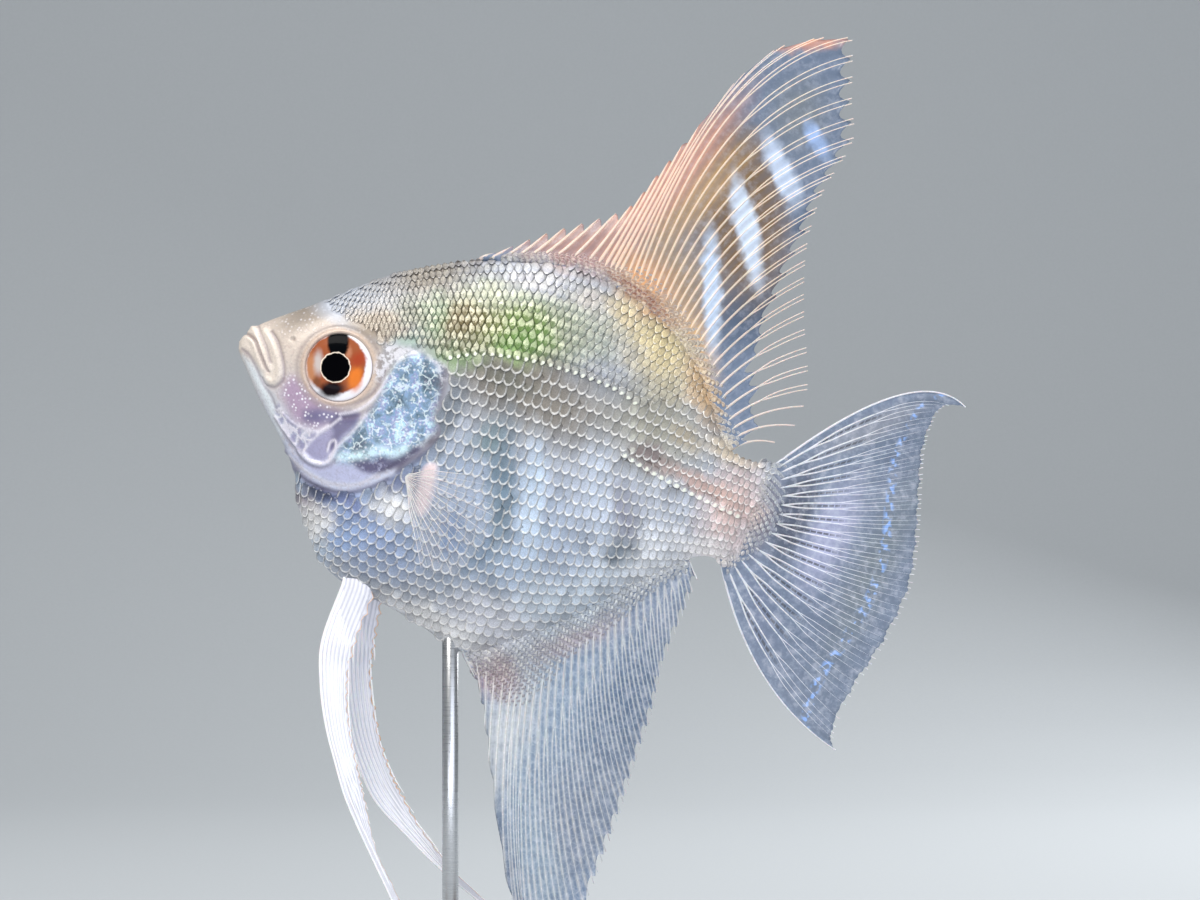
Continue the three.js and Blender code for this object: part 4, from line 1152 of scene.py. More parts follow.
def sheathCarriers(fin, band):  # small scales over the root of a median fin, pointing to its margin
    step = coat["sheathSpacing"]
    rays = np.arange(fin["bare"], fin["rays"] - 1.2, 0.5)
    across = np.abs(np.gradient(finFoot(fin, rays)[1 if fin is caudal else 0], rays))
    position = np.cumsum(across * 0.5)
    count = int(position[-1] / (0.4 * step))
    columns = np.interp(np.linspace(position[0], position[-1], count), position, rays)
    stops = [np.arange(-1.0 + (step / 2 if i % 2 else 0), float(fin["sheath"](ray)), step)
             for i, ray in enumerate(columns)]
    away = np.concatenate(stops)
    ray = np.repeat(columns, [len(places) for places in stops])
    ray = np.clip(ray + rng.normal(0, 0.03, len(ray)), 0.1, fin["rays"] - 1.1)
    t = away / rayLength(fin, ray)
    fade = 1 - 0.3 * np.clip(away / fin["sheath"](ray), 0, 1)
    centre = rayPoint(fin, ray, t)
    out = unit(rayPoint(fin, ray, t + 0.01) - rayPoint(fin, ray, t - 0.01))
    half = finHalf(fin, ray, t)
    slope = (finHalf(fin, ray, t + 0.01) - finHalf(fin, ray, t - 0.01)) / (0.02 * rayLength(fin, ray))
    order = rng.normal(0, 1, len(ray))
    none = np.zeros(len(ray))
    sides = {}
    for side in (-1, 1):
        v = band + (0.02 if side < 0 else 0.04) + 0.004 * away
        sides[side] = {
            "level": centre + np.column_stack([none, side * (half - 0.08), none]),
            "outward": unit(np.array([[0.0, side, 0.0]]) - out * slope[:, None]),
            "along": np.column_stack([-out[:, 2], none, out[:, 0]]),
            "extent": np.column_stack([step * 0.5 * fade, step * 0.52 * fade, 0.6 * fade]),
            # the third value gives the sheath's scales the painted highlight caps and painted shade, at 0.6
            "look": np.column_stack([np.clip(order, -2, 2), none, none + 0.6]),
            "root": np.column_stack([0.02 + 0.96 * ray / fin["rays"], v, none]),
        }
    return sides


def makeScaleMaterial():
    # Guanine-backed scale: thin horn over a mirror of crystals, silvery, pale at the free edge, which also
    # carries a painted highlight; the back's scales have painted highlight caps over painted shade
    material, add = newMaterial("silveryScale", **{
        "Metallic": 0.2, "Roughness": 0.32, "IOR": 1.5, "Coat Weight": 0.3, "Coat Roughness": 0.12})
    marks = add("group", node_tree=bodyMarkings)
    local, look = (add("carriedVector", attribute_name=name) for name in ("scaleAt", "look"))
    tone, canal, glint = add("separate", look)
    aft, up, _ = add("separate", local)
    place = levelPlace(add)
    levelX, _, levelZ = add("separate", place)
    glitter = add("noise", place, 2.4, 3.0, 0.7)
    mottle = add("noise", place, 5.5, 2.0, 0.6)
    sideways = add("absolute", aft)

    # How near the free edge a place is: straight at the sides, rounded below
    tongue, roundness = coat["tongue"], coat["round"]
    below = add("maximum", add("divide", add("subtract", tongue - 1, up), tongue), 0.0)
    outward = add("power", add("add", add("power", sideways, roundness), add("power", below, roundness)),
                  1 / roundness)
    down = add("ease", up, 0.0, -0.8)

    # Most scales: dusky and mottled in the middle, with painted shade at the upper end under the row above
    # and a middle darker towards the belly, inside a thin bright rim that thickens below: a pale edge with a
    # painted highlight where light from above catches it
    shade = product(
        add, add("ease", tone, -2.0, 2.0, coatLook["darkest"], coatLook["lightest"]),
        add("ease", up, 0.7, -0.4, 0.7, 1.05), add("ease", mottle, 0.3, 0.7, 0.8, 1.2),
        add("ease", levelZ, -8.0, -26.0, 1.0, 0.84))
    width = add("add", outward, product(add, down, 0.08))
    width = add("add", width, add("ease", glitter, 0.3, 0.7, -0.06, 0.06))
    # painted highlight: the rim is brighter along the lower edge, where light from above catches it
    rim = product(add, add("ease", width, *coatLook["rim"]), add("ease", down, 0.0, 1.0, 0.75, 0.95),
                  add("ease", glitter, 0.35, 0.6, 0.6, 1.0))
    netted = add("mix", rim, add("scale", marks, shade),
                 layered(add, marks, (coatLook["rimHighlight"], "#fffdf8")))

    # On the back the upper end of each scale is a bright cap, a painted highlight where light from above
    # catches the convex scale, over a dusky gap of painted shade
    ragged = add("add", up, add("ease", glitter, 0.3, 0.7, -0.35, 0.35))
    cap = product(add, add("ease", ragged, -0.45, 0.0), add("ease", sideways, 0.9, 0.4),
                  add("ease", tone, -1.4, 0.9, 0.45, 1.0), add("ease", mottle, 0.3, 0.6, 0.6, 1.0))
    shadedGap = add("scale", add("ShaderNodeGamma", {0: marks, 1: 1.5})[0], coatLook["gap"])
    lit = add("mix", cap, shadedGap, layered(add, marks, (coatLook["capHighlight"], "#fffbe2")))
    colour = add("mix", glint, netted, lit)

    # Towards the nape the scales lose their contrast
    fine = product(add, add("ease", levelX, 30.0, 14.0, 0.0, 0.7), add("ease", levelZ, 3.0, 9.0))
    fleck = product(add, add("ease", mottle, 0.53, 0.64, 0.0, 0.9), fine)
    colour = layered(add, add("mix", fine, colour, marks), (fleck, "#ece2d2"))

    # Beads of the lateral line
    wander = add("ease", glitter, 0.3, 0.7, -0.15, 0.15)
    ragged = add("add", add("distance", local, (0.2, -0.55, 0.0)), wander)
    pore = product(add, add("ease", ragged, 0.56, 0.26), canal, 0.75)
    colour = layered(add, colour, (pore, "#f6fae8"))
    rings = product(add, add("pingpong", add("length", local), 0.05), 8.0)
    return finished(material, colour, Normal=add("bump", add("add", glitter, rings), 0.4, 0.05 * mm))


def makeCoatPiece(name, carriers, chosen, shape, material):
    carriers = {key: values[chosen] for key, values in carriers.items()}
    points = standing(carriers["level"])
    carrier = pointCarrier(name, points, {
        "outward": turned(carriers["outward"]), "along": turned(carriers["along"]),
        "extent": carriers["extent"] * mm, "look": carriers["look"], "root": carriers["root"]})
    piece = realised(carrier, coatTree, {"Scale Shape": shape, "Material": material, "Unevenness": 0.05,
                                         "Overlap": 1.0, "Seed": 4})
    mesh = piece.data
    root, local = np.empty((2, len(mesh.vertices), 3), np.float32)
    for key, values in (("root", root), ("scaleAt", local)):
        mesh.attributes[key].data.foreach_get("vector", values.ravel())
    setUnwrap(mesh, (root[:, :2] + local[:, :2] * coat["patch"] / 2)[cornerPoints(mesh)])
    for key in ("outward", "along", "extent", "root"):
        mesh.attributes.remove(mesh.attributes[key])
    fit(piece, "scaled_skin")
    triangles = sum(len(face.vertices) - 2 for face in mesh.polygons)
    print(name, "scales:", len(points), "triangles:", triangles)


def makeCoat():
    material = makeScaleMaterial()
    sheaths = {word: sheathCarriers(fin, band) for word, fin, band in (
        ("dorsal", dorsal, 0.0), ("anal", anal, 0.35), ("tail", caudal, 0.4))}
    flanks = flankCarriers()
    for side, word in ((-1, "left"), (1, "right")):
        shape = scaleShape(side, coat["tongue"], coat["round"])
        pointed = scaleShape(side, coat["backTongue"], coat["backRound"])
        fore, back = flanks[side]["level"][:, 0] < coat["foreEnd"], flanks[side]["back"]
        makeCoatPiece("scales_fore_" + word, flanks[side], fore & ~back, shape, material)
        makeCoatPiece("scales_rear_" + word, flanks[side], ~fore & ~back, shape, material)
        makeCoatPiece("scales_back_" + word, flanks[side], back, pointed, material)
        for finName, carriers in sheaths.items():
            makeCoatPiece("scales_" + finName + "_" + word, carriers[side], slice(None), shape, material)
        bpy.data.objects.remove(shape)
        bpy.data.objects.remove(pointed)


makeCoat()


# Fin colours, as marks on the fins' own side view
finColours = {
    "ground": "#72829a",
    "wander": 1.1,
    "wanderScale": 0.6,
    "marks": [
        (74, 30, 9, 16, -60, 0.9, "#3e5068", 0.95),
        (66, 43, 19, 10, -62, 0.6, "#7d6038", 1.0),
        (70, 60, 7, 9, 10, 0.9, "#7e868c", 0.9),
        (60, 30, 13, 9, -50, 0.9, "#b39468", 0.9),
        (58, 41.5, 18, 5.5, 62, 0.8, "#bd9a6c", 0.95),
        (53, 42, 27, 5.5, 66, 0.8, "#e0a388", 1.0),
        (43, 31, 14, 5, 22, 0.8, "#b98d7e", 1.0),
        (55, 29, 9, 5, -20, 0.9, "#e6a86c", 0.95),
        (66, 22, 10, 3.5, -50, 0.9, "#e2b67e", 0.9),
        (67, 70.6, 11, 2.2, 20, 0.8, "#e3a184", 1.0),
        (65.8, 30.0, 13, 2.0, -71, 0.65, "#d3e6ff", 1.0),
        (68.2, 40.3, 11.5, 2.4, -60, 0.55, "#deecff", 1.0),
        (70.6, 50.4, 9, 2.4, -49, 0.6, "#d3e4fd", 1.0),
        (73.8, 57, 4.8, 1.8, -42, 0.8, "#a9c6f4", 1.0),
        (77, 43, 9, 3, -55, 0.9, "#465a76", 0.85),
        (88.2, 1.5, 4.4, 11, 0, 0.7, "#1f2a44", 1.0),
        (94.5, 0, 5, 14, -6, 0.9, "#b6badb", 1.0),
        (84, 0, 2.6, 10, 4, 0.9, "#7c7078", 0.9),
        (102.5, -3, 5, 24, -8, 0.9, "#727f88", 0.9),
        (88, -14, 4, 12, 28, 0.9, "#6f7c98", 0.85),
        (95, 17, 14, 3, 42, 0.9, "#90949e", 0.85),
        (62, -40, 13, 24, -20, 0.9, "#7b93ac", 0.9),
        (56, -46, 7, 20, -8, 0.9, "#c3c8cc", 0.9),
        (68, -62, 6, 26, 30, 0.9, "#8ea4b8", 0.85),
        (73, -34, 8, 16, -14, 0.9, "#506a8a", 0.9),
        (52.5, -36, 6, 5, -30, 0.8, "#ae949c", 1.0),
        (62, -27, 12, 3.5, 38, 0.9, "#b3a8b2", 0.9),
        (75, -66, 5, 14, -20, 0.9, "#748caa", 0.8),
    ],
}
finMarkings = makeMarkings("finMarkings", finColours)


def finNumber(add):  # the ray number and the way out to its tip, from the piece's own attribute
    ray, t, _ = add("separate", add("carriedVector", attribute_name="finPlace"))
    return ray, t


def makeFinMaterial(name, look):
    # Fin membrane: two clear layers of wet skin with pigment between them, so that light comes through
    material, add = newMaterial(name, **{
        "Roughness": 0.38, "IOR": 1.42, "Coat Weight": 0.3, "Coat Roughness": 0.12})
    place = levelPlace(add)
    ray, t = finNumber(add)
    base = tint(look["colour"]) if "colour" in look else add("group", node_tree=finMarkings)
    alpha = add("ease", t, 0.25, 1.0, look["solid"], look["thin"])
    fromRay = add("pingpong", ray, 0.5)
    if "bands" in look:  # the soft rays part in two, evenly spread, pale beside each ray and dark between two
        parted = add("pingpong", add("subtract", product(add, ray, 2.0), 0.5), 0.5)
        share = product(add, add("ease", t, 0.26, 0.42), add("ease", ray, 5.5, 6.5))
        fromRay = add("add", product(add, fromRay, add("subtract", 1.0, share)), product(add, parted, share))
        uneven = add("ease", add("noise", place, 0.45, 3.0, 0.6), 0.35, 0.6, 0.25, 1.0)
        near, far = (product(add, add("ease", fromRay, *edge, 0.0, look["bands"]), uneven)
                     for edge in ((0.32, 0.16), (0.34, 0.48)))
        base = layered(
            add, base, (near, "#e9e6dc"), (far, "#4c6482"),
            (add("ease", add("cellEdge", place, 0.95), 0.12, 0.02, 0.0, 0.16), "#dde6ee"))
    else:
        base = layered(add, base, (add("ease", fromRay, 0.12, 0.42, 0.0, 0.3), "#56667f"))
    if "cores" in look:  # a dark broken line beside each ray
        dash = add("ease", add("pingpong", product(add, t, 27.0), 0.5), 0.06, 0.12)
        core = product(add, add("ease", fromRay, 0.085, 0.055), add("ease", t, 0.1, 0.16),
                       add("ease", t, 0.62, 0.45), dash, look["cores"])
        base, alpha = layered(add, base, (core, "#2e3340")), add("maximum", alpha, core)
    if "spots" in look:  # an arc of blue glints near the margin
        dot = product(add, add("ease", t, 0.77, 0.8), add("ease", t, 0.85, 0.82),
                      add("ease", add("noise", place, 1.0, 1.0), 0.5, 0.6), look["spots"])
        base, alpha = layered(add, base, (dot, "#8cb8fb")), add("maximum", alpha, dot)
    if "rim" in look:
        low, high, code = look["rim"]
        base = layered(add, base, (add("ease", ray, low, high), code))
    cloud = add("noise", place, 0.8, 4.0, 0.65)
    base = layered(add, base, (add("ease", cloud, 0.45, 0.7, 0.0, look["cloudy"]), "#dfe4f2"),
                   (add("ease", cloud, 0.5, 0.3, 0.0, look["cloudy"]), "#4c5a74"))
    height = add("add", add("noise", place, 1.6, 3.0), product(add, fromRay, -1.2))
    return finished(material, base, Alpha=alpha, Normal=add("bump", height, 0.5, 0.15 * mm))


def makeRayMaterial(name, look):
    # Bony fin ray under a thin wet skin, pale, with a lighter joint at every segment
    material, add = newMaterial(name, **{
        "Roughness": 0.35, "IOR": 1.5, "Coat Weight": 0.35, "Coat Roughness": 0.12,
        "Subsurface Weight": 0.15, "Subsurface Scale": 0.3 * mm})
    ray, t = finNumber(add)
    dusk = add("ease", add("noise", levelPlace(add), 0.7, 3.0), 0.55, 0.35, 0.0, look["dusky"])
    segment = add("pingpong", product(add, t, look["segments"]), 0.5)
    joint = add("ease", segment, 0.12, 0.04, 0.0, look["joints"])
    return finished(material, layered(
        add, add("group", node_tree=finMarkings), (look["share"], look["colour"]), (dusk, "#9a938f"),
        (product(add, joint, add("ease", t, 0.1, 0.3)), "#ffffff")))


def makeBlade(name, columns, rows, place, rays, material):  # a closed thin sheet between two grids
    u, v = (grid.ravel() for grid in np.meshgrid(
        np.linspace(0, rays - 1, columns + 1), np.linspace(0, 1, rows + 1), indexing="ij"))
    middle, half, t = place(u, v)
    grid = middle.reshape(columns + 1, rows + 1, 3)
    normal = unit(np.cross(np.gradient(grid, axis=0), np.gradient(grid, axis=1)).reshape(-1, 3))
    normal *= np.sign(normal[:, 1:2].mean())  # towards the fish's right
    sheet = len(u)
    at = np.arange(sheet).reshape(columns + 1, rows + 1)
    near = np.stack([at[:-1, :-1], at[1:, :-1], at[1:, 1:], at[:-1, 1:]], -1).reshape(-1, 4)
    loop = np.concatenate([at[:, 0], at[-1, 1:], at[-2::-1, -1], at[0, -2:0:-1]])
    side = np.column_stack([loop, loop + sheet, np.roll(loop, -1) + sheet, np.roll(loop, -1)])
    faces = np.vstack([near, near[:, ::-1] + sheet, side[:, ::-1]])
    points = standing(np.vstack([middle - normal * half[:, None], middle + normal * half[:, None]]))
    p = points[faces]
    volume = np.einsum("ij,ij->i", p[:, 0], np.cross(p[:, 1], p[:, 2]) + np.cross(p[:, 2], p[:, 3])).sum()
    if volume < 0:
        faces = faces[:, ::-1]
    piece = makeMesh(name, points, faces.tolist(), material)
    setAttribute(piece.data, "finPlace", np.tile(np.column_stack([u, t, np.zeros(sheet)]), (2, 1)))
    return piece


def makeRays(name, strands, sides, material):  # strands: (points in level mm, radii in mm, ray, t)
    levels, radii, numbers, ways = zip(*strands)
    starts = np.cumsum([0, *(len(t) for t in ways)])
    edges = [(i, i + 1) for start, stop in zip(starts[:-1], starts[1:]) for i in range(start, stop - 1)]
    where = np.column_stack([np.concatenate(numbers), np.concatenate(ways), np.zeros(starts[-1])])
    carrier = pointCarrier(name, standing(np.vstack(levels)), {
        "thick": np.concatenate(radii) * mm, "finPlace": where}, edges)
    piece = realised(carrier, rayTree, {"Material": material, "Sides": sides, "Thickness": 1.0})
    if "thick" in piece.data.attributes:
        piece.data.attributes.remove(piece.data.attributes["thick"])
    return piece


def makeFin(word, node, grid, place, rays, strands, sides, membrane, rayMaterial):  # a membrane with its rays
    blade = makeBlade("membrane_" + word, *grid, place, rays, membrane)
    bones = makeRays("rays_" + word, strands, sides, rayMaterial)
    fit(blade, "fin_membrane", node)
    fit(bones, "fin_membrane")
    print(blade.name, len(blade.data.polygons), bones.name, len(bones.data.polygons))


def rayStrands(fin, ray):  # a ray and its branches
    soft = fin["spines"] <= ray < fin["lastFork"] and 0 < ray < fin["rays"] - 1
    forks = fin["fork"] if soft else []
    reach = rayLength(fin, ray)
    stops = [rayRoot(fin, ray), *(t for t, width in forks), 1.0]
    thickRoot, thickTip = fin["radius"] if ray < fin["spines"] else fin["softRadius"]
    strands = []
    for depth, (start, stop) in enumerate(zip(stops[:-1], stops[1:])):
        for signs in itertools.product((-1, 1), repeat=depth):
            t = np.linspace(start, stop, max(4, int(reach * (stop - start) / 1.1)))
            path = ray + 0 * t
            for sign, (fork, width) in zip(signs, forks):
                path = path + sign * width * smooth(fork, fork + 0.16, t)
            radius = (thickRoot + (thickTip - thickRoot) * np.clip(t, 0, 1) ** 0.8) * 0.78**depth
            if ray < fin["spines"]:
                radius = radius * (1 - 0.75 * smooth(0.9, 1.0, t))
            strands.append((rayPoint(fin, path, t), radius, path, t))
    return strands


def makeMedianFin(fin, word):
    def place(ray, v):
        start, end = rayRoot(fin, ray), np.maximum(0.12, 1 - drop(fin, ray) / rayLength(fin, ray))
        t = start + (end - start) * v
        return rayPoint(fin, ray, t), finHalf(fin, ray, t), t

    strands = [strand for ray in range(fin["rays"]) for strand in rayStrands(fin, ray)]
    cells = (fin["rays"] - 1) * fin["cells"]
    makeFin(word, fin["node"], (cells, fin["rows"]), place, fin["rays"], strands, 6,
            makeFinMaterial(word + "Membrane", fin["skin"]), makeRayMaterial(word + "Ray", fin["bone"]))


for word, fin in (("dorsal", dorsal), ("anal", anal), ("tail", caudal)):
    makeMedianFin(fin, word)


# Paired fins, with the solids' own edges
pelvics = {
    "left": {
        "fore": [(26.2, -29.8), (25.9, -39), (27.6, -45), (30.2, -50.6), (33.6, -56), (37.1, -61),
                 (42.8, -67.3), (48.7, -73.6), (61, -87.6)],
        "rear": [(31.4, -30.7), (31, -39), (32.2, -45.6), (35, -51.8), (38, -57), (39.9, -60.2),
                 (43.8, -66.8), (49.6, -73), (61.2, -87.4)],
        "reach": -4.6},
    "right": {
        "fore": [(27.4, -30), (28.4, -38.4), (30.4, -45), (33.6, -51.6), (37.6, -57.2), (41.2, -60.9),
                 (47, -64.2), (56, -68.6), (78.2, -76.8)],
        "rear": [(32.8, -30.9), (33.6, -37), (34.8, -42.8), (38.6, -50.6), (42.2, -55.6), (45, -58.6),
                 (50.2, -63.4), (59.4, -69), (78.4, -76.4)],
        "reach": 5.6},
}
pelvic = {
    "foot": 1.3,  # mm from the midplane
    "rays": 9,
    "spacing": 0.66,
    "skin": {"solid": 0.97, "thin": 0.95, "cloudy": 0.06, "colour": "#f2f2fb", "rim": (7.6, 8.0, "#dcae86")},
    "bone": {"colour": "#fcfbff", "share": 0.97, "segments": 60.0, "dusky": 0.05, "joints": 0.6},
}


def pelvicPoint(fin, u, t):  # u from the fore edge to the rear one, t down to the streamer's end
    side = math.copysign(1, fin["reach"])
    foot = side * pelvic["foot"]
    (foreA, foreH), (rearA, rearH) = (
        [np.interp(t, np.linspace(0, 1, len(line)), values) for values in line.T]
        for line in (rounded(fin["fore"], 12), rounded(fin["rear"], 12)))
    inside = np.minimum(t, 0)  # above its foot the fin runs up into the belly
    a = foreA + (rearA - foreA) * u + inside * 10
    h = foreH + (rearH - foreH) * u - inside * 60
    y = foot + (fin["reach"] - foot) * (1 - (1 - np.maximum(t, 0)) ** 2)
    y = y * (1 + inside * 10) + side * 0.5 * np.sin(u * np.pi) * smooth(0, 0.15, t) * smooth(0.8, 0.5, t)
    return np.column_stack([a, y, h]), np.hypot(rearA - foreA, rearH - foreH)


def makePelvic(word, fin, membrane, rayMaterial):
    rays = pelvic["rays"]

    def place(ray, v):
        t = -0.05 + 1.05 * v
        u = ray / (rays - 1)
        width = pelvicPoint(fin, u, t)[1]
        fringe = 0.12 * np.abs(np.sin(t * 90)) * smooth(0.8, 1, u) * smooth(0.3, 1, width)
        half = 0.12 + 0.75 * np.clip(1 - t / 0.09, 0, 1) ** 1.5 * np.sin(np.pi * np.clip(u, 0.03, 0.97))
        return pelvicPoint(fin, u - fringe, t)[0], half * np.clip(width / 0.8, 0.5, 1), t

    strands = []
    t = np.linspace(-0.045, 1.0, 90)
    width = pelvicPoint(fin, 0 * t, t)[1]
    for ray in range(rays):  # each ray ends where the fin gets too narrow for it
        away = ray * pelvic["spacing"] * (0.75 + 0.25 * smooth(0.0, 0.2, t))
        shown = away <= width * 1.03 + (0.0 if ray else 9.0)
        shown &= np.cumsum(~shown) == 0
        if shown.sum() < 6:
            continue
        u, down = np.clip(away / width, 0, 1.05)[shown], t[shown]
        radius = (0.32 - 0.022 * ray) * (1 - 0.55 * down) * (1 - 0.8 * smooth(0.94, 1.0, down))
        if ray:
            radius = radius * (1 - 0.6 * smooth(0.85, 1.0, np.linspace(0, 1, len(down))))
        strands.append((pelvicPoint(fin, u, down)[0], radius, u * (rays - 1), down))
    makeFin("pelvic_" + word, "fin_pelvic_" + word, (24, 110), place, rays, strands, 8, membrane, rayMaterial)


pelvicSkin = makeFinMaterial("pelvicMembrane", pelvic["skin"])
pelvicRay = makeRayMaterial("pelvicRay", pelvic["bone"])
for word, fin in pelvics.items():
    makePelvic(word, fin, pelvicSkin, pelvicRay)


pectoral = {
    "rays": 9, "a": 31.8, "h": -12.2, "span": 5.2, "spread": (10, -52), "flare": math.radians(32),
    "length": curveThrough([(0, 12.5), (2, 16.5), (4, 17), (6, 15.5), (8, 11)]),
    "clear": 1.0,  # mm from the flank to the fin's foot
    "skin": {"solid": 0.12, "thin": 0.05, "cloudy": 0.3, "colour": "#e6e4ea"},
    "bone": {"colour": "#f3ece8", "share": 0.9, "segments": 20.0, "dusky": 0.35, "joints": 0.6},
}


def pectoralPoint(side, ray, t):
    along = ray / (pectoral["rays"] - 1)
    first, last = pectoral["spread"]
    angle = np.radians(first + (last - first) * along)
    reach = t * pectoral["length"](ray)
    x = reach * np.cos(angle)
    bow = side * 0.8 * t * t
    turn = side * pectoral["flare"]
    a = pectoral["a"] + x * math.cos(turn) - bow * math.sin(turn)
    y = x * math.sin(turn) + bow * math.cos(turn)
    span = pectoral["span"] * (1 - 0.35 * smooth(0.2, -0.1, t))  # the root is narrower
    h = pectoral["h"] + span * (0.5 - along) + reach * np.sin(angle)
    foot = flank(pectoral["a"], pectoral["h"]) + pectoral["clear"]
    return np.column_stack([a, y + side * foot, h])


def makePectoral(word, side, membrane, rayMaterial):
    rays = pectoral["rays"]

    def place(ray, v):
        end = 1 - 0.5 * np.sin(np.pi * (ray - np.floor(ray))) / pectoral["length"](ray)
        t = -0.12 + (end + 0.12) * v
        fleshy = np.clip(1 - (t + 0.12) / 0.3, 0, 1) ** 1.5
        half = 0.05 + 0.55 * fleshy * np.sin(np.pi * (ray + 0.6) / (rays + 0.2))
        return pectoralPoint(side, ray, t), half, t

    strands = []
    t = np.linspace(-0.1, 0.985, 22)
    for number in np.arange(0, rays - 0.5, 0.5):  # a finer ray between each two
        ray = number + 0 * t
        radius = (0.085 - 0.06 * np.clip(t, 0, 1)) * (1 if number % 1 == 0 else 0.6)
        strands.append((pectoralPoint(side, ray, t), radius, ray, t))
    grid = ((rays - 1) * 6, 24)
    makeFin("pectoral_" + word, "fin_pectoral_" + word, grid, place, rays, strands, 5, membrane, rayMaterial)


pectoralSkin = makeFinMaterial("pectoralMembrane", pectoral["skin"])
pectoralRay = makeRayMaterial("pectoralRay", pectoral["bone"])
for word, side in (("left", -1), ("right", 1)):
    makePectoral(word, side, pectoralSkin, pectoralRay)


# Eyes: the iris as marks on the side view, with painted highlight crescents at its rim, and the form of the
# ball
iris = {
    "ground": "#94553a",
    "wander": 0.2,
    "wanderScale": 1.6,
    "marks": [
        # painted highlight: the white disc shows as a crescent at the lower aft rim, left bare by the brown
        # disc over it
        (15.65, 1.3, 5.4, 5.4, 0, 0.05, "#f6f5fa", 1.0),
        (15.15, 1.65, 4.72, 4.72, 0, 0.1, "#9c5738", 1.0),
        (11.7, -0.2, 1.2, 3.4, 18, 0.7, "#c08762", 0.9),
        (12.5, 1.0, 1.1, 2.8, 18, 0.8, "#c9c3c0", 0.85),
        (13.2, -1.9, 1.0, 1.3, 30, 0.8, "#7c4f37", 0.8),
        (18.6, 0.5, 1.6, 2.8, 10, 0.7, "#e07c33", 1.0),
        (18.2, 3.4, 1.6, 2.2, -35, 0.8, "#a5462c", 0.95),
        (16.4, 3.9, 0.8, 1.4, 10, 0.8, "#c98f70", 0.6),
        (15.7, -2.2, 2.6, 1.7, 28, 0.6, "#171015", 1.0),
        (14.4, 4.9, 1.9, 3.1, 18, 0.3, "#06070a", 1.0),
        # painted highlight: a thin white streak on the upper aft rim
        (19.1, 4.7, 2.6, 0.55, -43, 0.7, "#f2eff4", 0.95),
        (15.2, 1.15, 2.4, 2.4, 0, 0.07, "#f4e4d0", 1.0),
        (15.2, 1.15, 2.24, 2.24, 0, 0.07, "#030305", 1.0),
    ],
}
eyeForm = {
    "reach": eyeDisc["radius"],
    "dome": 0.7,
    "back": 2.6,
    "sink": 0.35,
    "around": 64,
    "rings": 18,
    "backRings": 8,
}


def makeIrisMaterial():
    # Wet cornea over the iris, with little gloss of its own, so that the pupil stays black
    material, add = newMaterial("wetCornea", **{
        "Roughness": 0.22, "IOR": 1.38, "Specular IOR Level": 0.02, "Coat Weight": 0.08,
        "Coat Roughness": 0.03, "Coat IOR": 1.38})
    return finished(material, add("group", node_tree=makeMarkings("irisMarkings", iris)))


def makeEye(word, side, material):  # a shallow dome in front and a ball behind, closed at both ends
    a, h = eyeDisc["a"], eyeDisc["h"]
    centre = np.array([a, side * float(flank(a, h)), h])
    outward = flankNormal(np.array([a]), np.array([h]), side)[0]
    aft = unit(np.cross(np.cross(outward, (1, 0, 0)), outward))
    up = np.cross(outward, aft)
    up *= np.sign(up[2])
    reach, dome, sink, back, around = (eyeForm[key] for key in ("reach", "dome", "sink", "back", "around"))
    r = np.arange(1, eyeForm["rings"] + 1) / eyeForm["rings"]
    turn = np.arange(1, eyeForm["backRings"]) / eyeForm["backRings"] * math.pi / 2
    rows = [*zip(r * reach, dome * (1 - r**4) - sink),
            *zip(np.cos(turn) * reach, -sink - back * np.sin(turn))]
    way = 2 * math.pi * np.arange(around)[:, None] / around
    spokes = aft * np.cos(way) + up * np.sin(way)
    rings = [centre + outward * z + r * spokes for r, z in rows]
    points = np.vstack([centre + outward * (dome - sink), *rings, centre - outward * (sink + back)])
    faces = [face[::-1] for face in fanFaces(0, around, 1)]
    faces += [face[::-1] for face in ringFaces(len(rows), around, 1)]
    faces += fanFaces(len(points) - 1, around, len(points) - 1 - around)
    if np.dot(np.cross(aft, up), outward) < 0:
        faces = [face[::-1] for face in faces]
    fit(makeMesh("eye_" + word + "_wet", standing(points), faces, material), "eye_gloss", "eye_" + word)


irisMaterial = makeIrisMaterial()
for word, side in (("left", -1), ("right", 1)):
    makeEye(word, side, irisMaterial)
print("eyes ready")


# Stand
stand = {
    "corner": 8.0,
    "edge": 1.6,
    "rodRadius": 1.25,
    "rodEdge": 0.3,
    "collarRadius": 3.2,
    "collarHeight": 2.5,
}


def makeWalnut():
    # Oiled walnut with its long grain along the plinth
    material, add = newMaterial("oiledWalnut", **{
        "Roughness": 0.42, "IOR": 1.5, "Coat Weight": 0.2, "Coat Roughness": 0.3})
    place = add("objectPlace")
    grain, pore = (add("noise", add("ShaderNodeMapping", {"Vector": place, "Scale": scale})[0], 1.0, detail)
                   for scale, detail in (((40.0, 420.0, 420.0), 6.0), ((300.0, 4500.0, 4500.0), 2.0)))
    colour = layered(add, tint("#3b2618"), (add("ease", grain, 0.35, 0.65), "#6b4a31"),
                     (add("ease", pore, 0.6, 0.72, 0.0, 0.6), "#1f130c"))
    return finished(material, colour, Normal=add("bump", pore, 0.25, 0.1 * mm))


def makeSteel():
    # Stainless rod, ground and brushed round
    material, add = newMaterial("brushedSteel", **{"Metallic": 1.0, "Roughness": 0.28})
    place = add("objectPlace")
    rings = add("ShaderNodeMapping", {"Vector": place, "Scale": (200.0, 200.0, 9000.0)})[0]
    brush = add("noise", rings, 1.0, 3.0)
    colour = layered(add, tint("#c6c8cb"), (add("ease", brush, 0.3, 0.7), "#d2d4d6"))
    return finished(material, colour, Roughness=add("ease", brush, 0.3, 0.7, 0.27, 0.31))


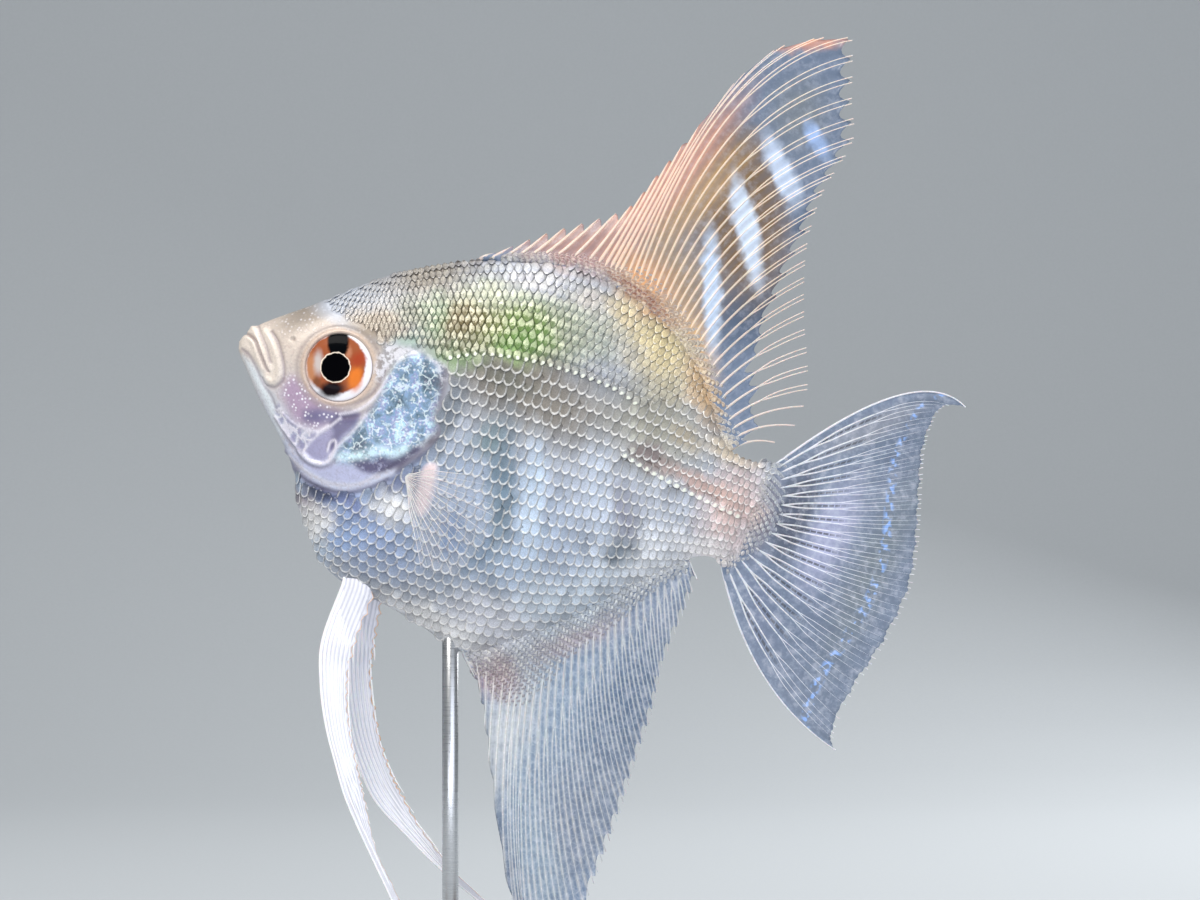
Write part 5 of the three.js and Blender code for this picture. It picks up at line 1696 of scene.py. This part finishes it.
def ringSolid(name, rings, material):  # a solid through closed rings of points, from its foot to its top
    rings = np.array(rings)
    count, around = rings.shape[:2]
    last = (count - 1) * around
    ends = [list(range(around))[::-1], list(range(last, last + around))]
    return makeMesh(name, rings.reshape(-1, 3), ringFaces(count, around) + ends, material)


def circle(centre, radius, z, around=48):  # radius in mm, the rest in metres
    turn = 2 * math.pi * np.arange(around) / around
    return np.column_stack([centre[0] + radius * mm * np.cos(turn), centre[1] + radius * mm * np.sin(turn),
                            np.full(around, z)])


def roundedSquare(low, high, inset, z):  # the plinth's outline at one height, drawn in by the inset
    corner, radius = stand["corner"] * mm, (stand["corner"] - inset) * mm
    ring = []
    for quarter, (x, y) in enumerate(((high.x, high.y), (low.x, high.y), (low.x, low.y), (high.x, low.y))):
        for turn in (quarter + np.arange(10) / 9) * math.pi / 2:
            ring.append((x - math.copysign(corner, x) + radius * math.cos(turn),
                         y - math.copysign(corner, y) + radius * math.sin(turn), z))
    return ring


def makeStand():
    walnut, steel = makeWalnut(), makeSteel()
    low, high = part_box("stand_base")
    rodLow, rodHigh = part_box("stand_rod")
    axis = ((rodLow.x + rodHigh.x) / 2, (rodLow.y + rodHigh.y) / 2)
    edge, wide, tall = stand["edge"], stand["collarRadius"], stand["collarHeight"] * mm
    rod, worn = stand["rodRadius"], stand["rodEdge"]
    top = high.z - tall
    bend = np.arange(9) / 8 * math.pi / 2
    profile = [(edge, low.z), (edge * 0.3, low.z + edge * 0.3 * mm), (0, low.z + edge * mm),
               *zip(edge * (1 - np.cos(bend)), top - edge * mm * (1 - np.sin(bend)))]
    plinth = ringSolid("stand_plinth", [roundedSquare(low, high, inset, z) for inset, z in profile], walnut)
    collar = ringSolid("stand_collar", [circle(axis, radius, z) for radius, z in (
        (wide, top - 0.2 * mm), (wide, top + tall * 0.7), (wide - 0.2, top + tall * 0.92),
        (wide - 0.6, high.z), (rod + 0.1, high.z))], steel)
    bar = ringSolid("stand_bar", [circle(axis, radius, z) for radius, z in (
        (rod, rodLow.z), (rod, rodHigh.z - worn * mm), (rod - worn, rodHigh.z))], steel)
    fit(plinth, "dark_wood", "stand_base")
    fit(collar, "steel")
    fit(bar, "steel", "stand_rod")


makeStand()
print("stand ready")
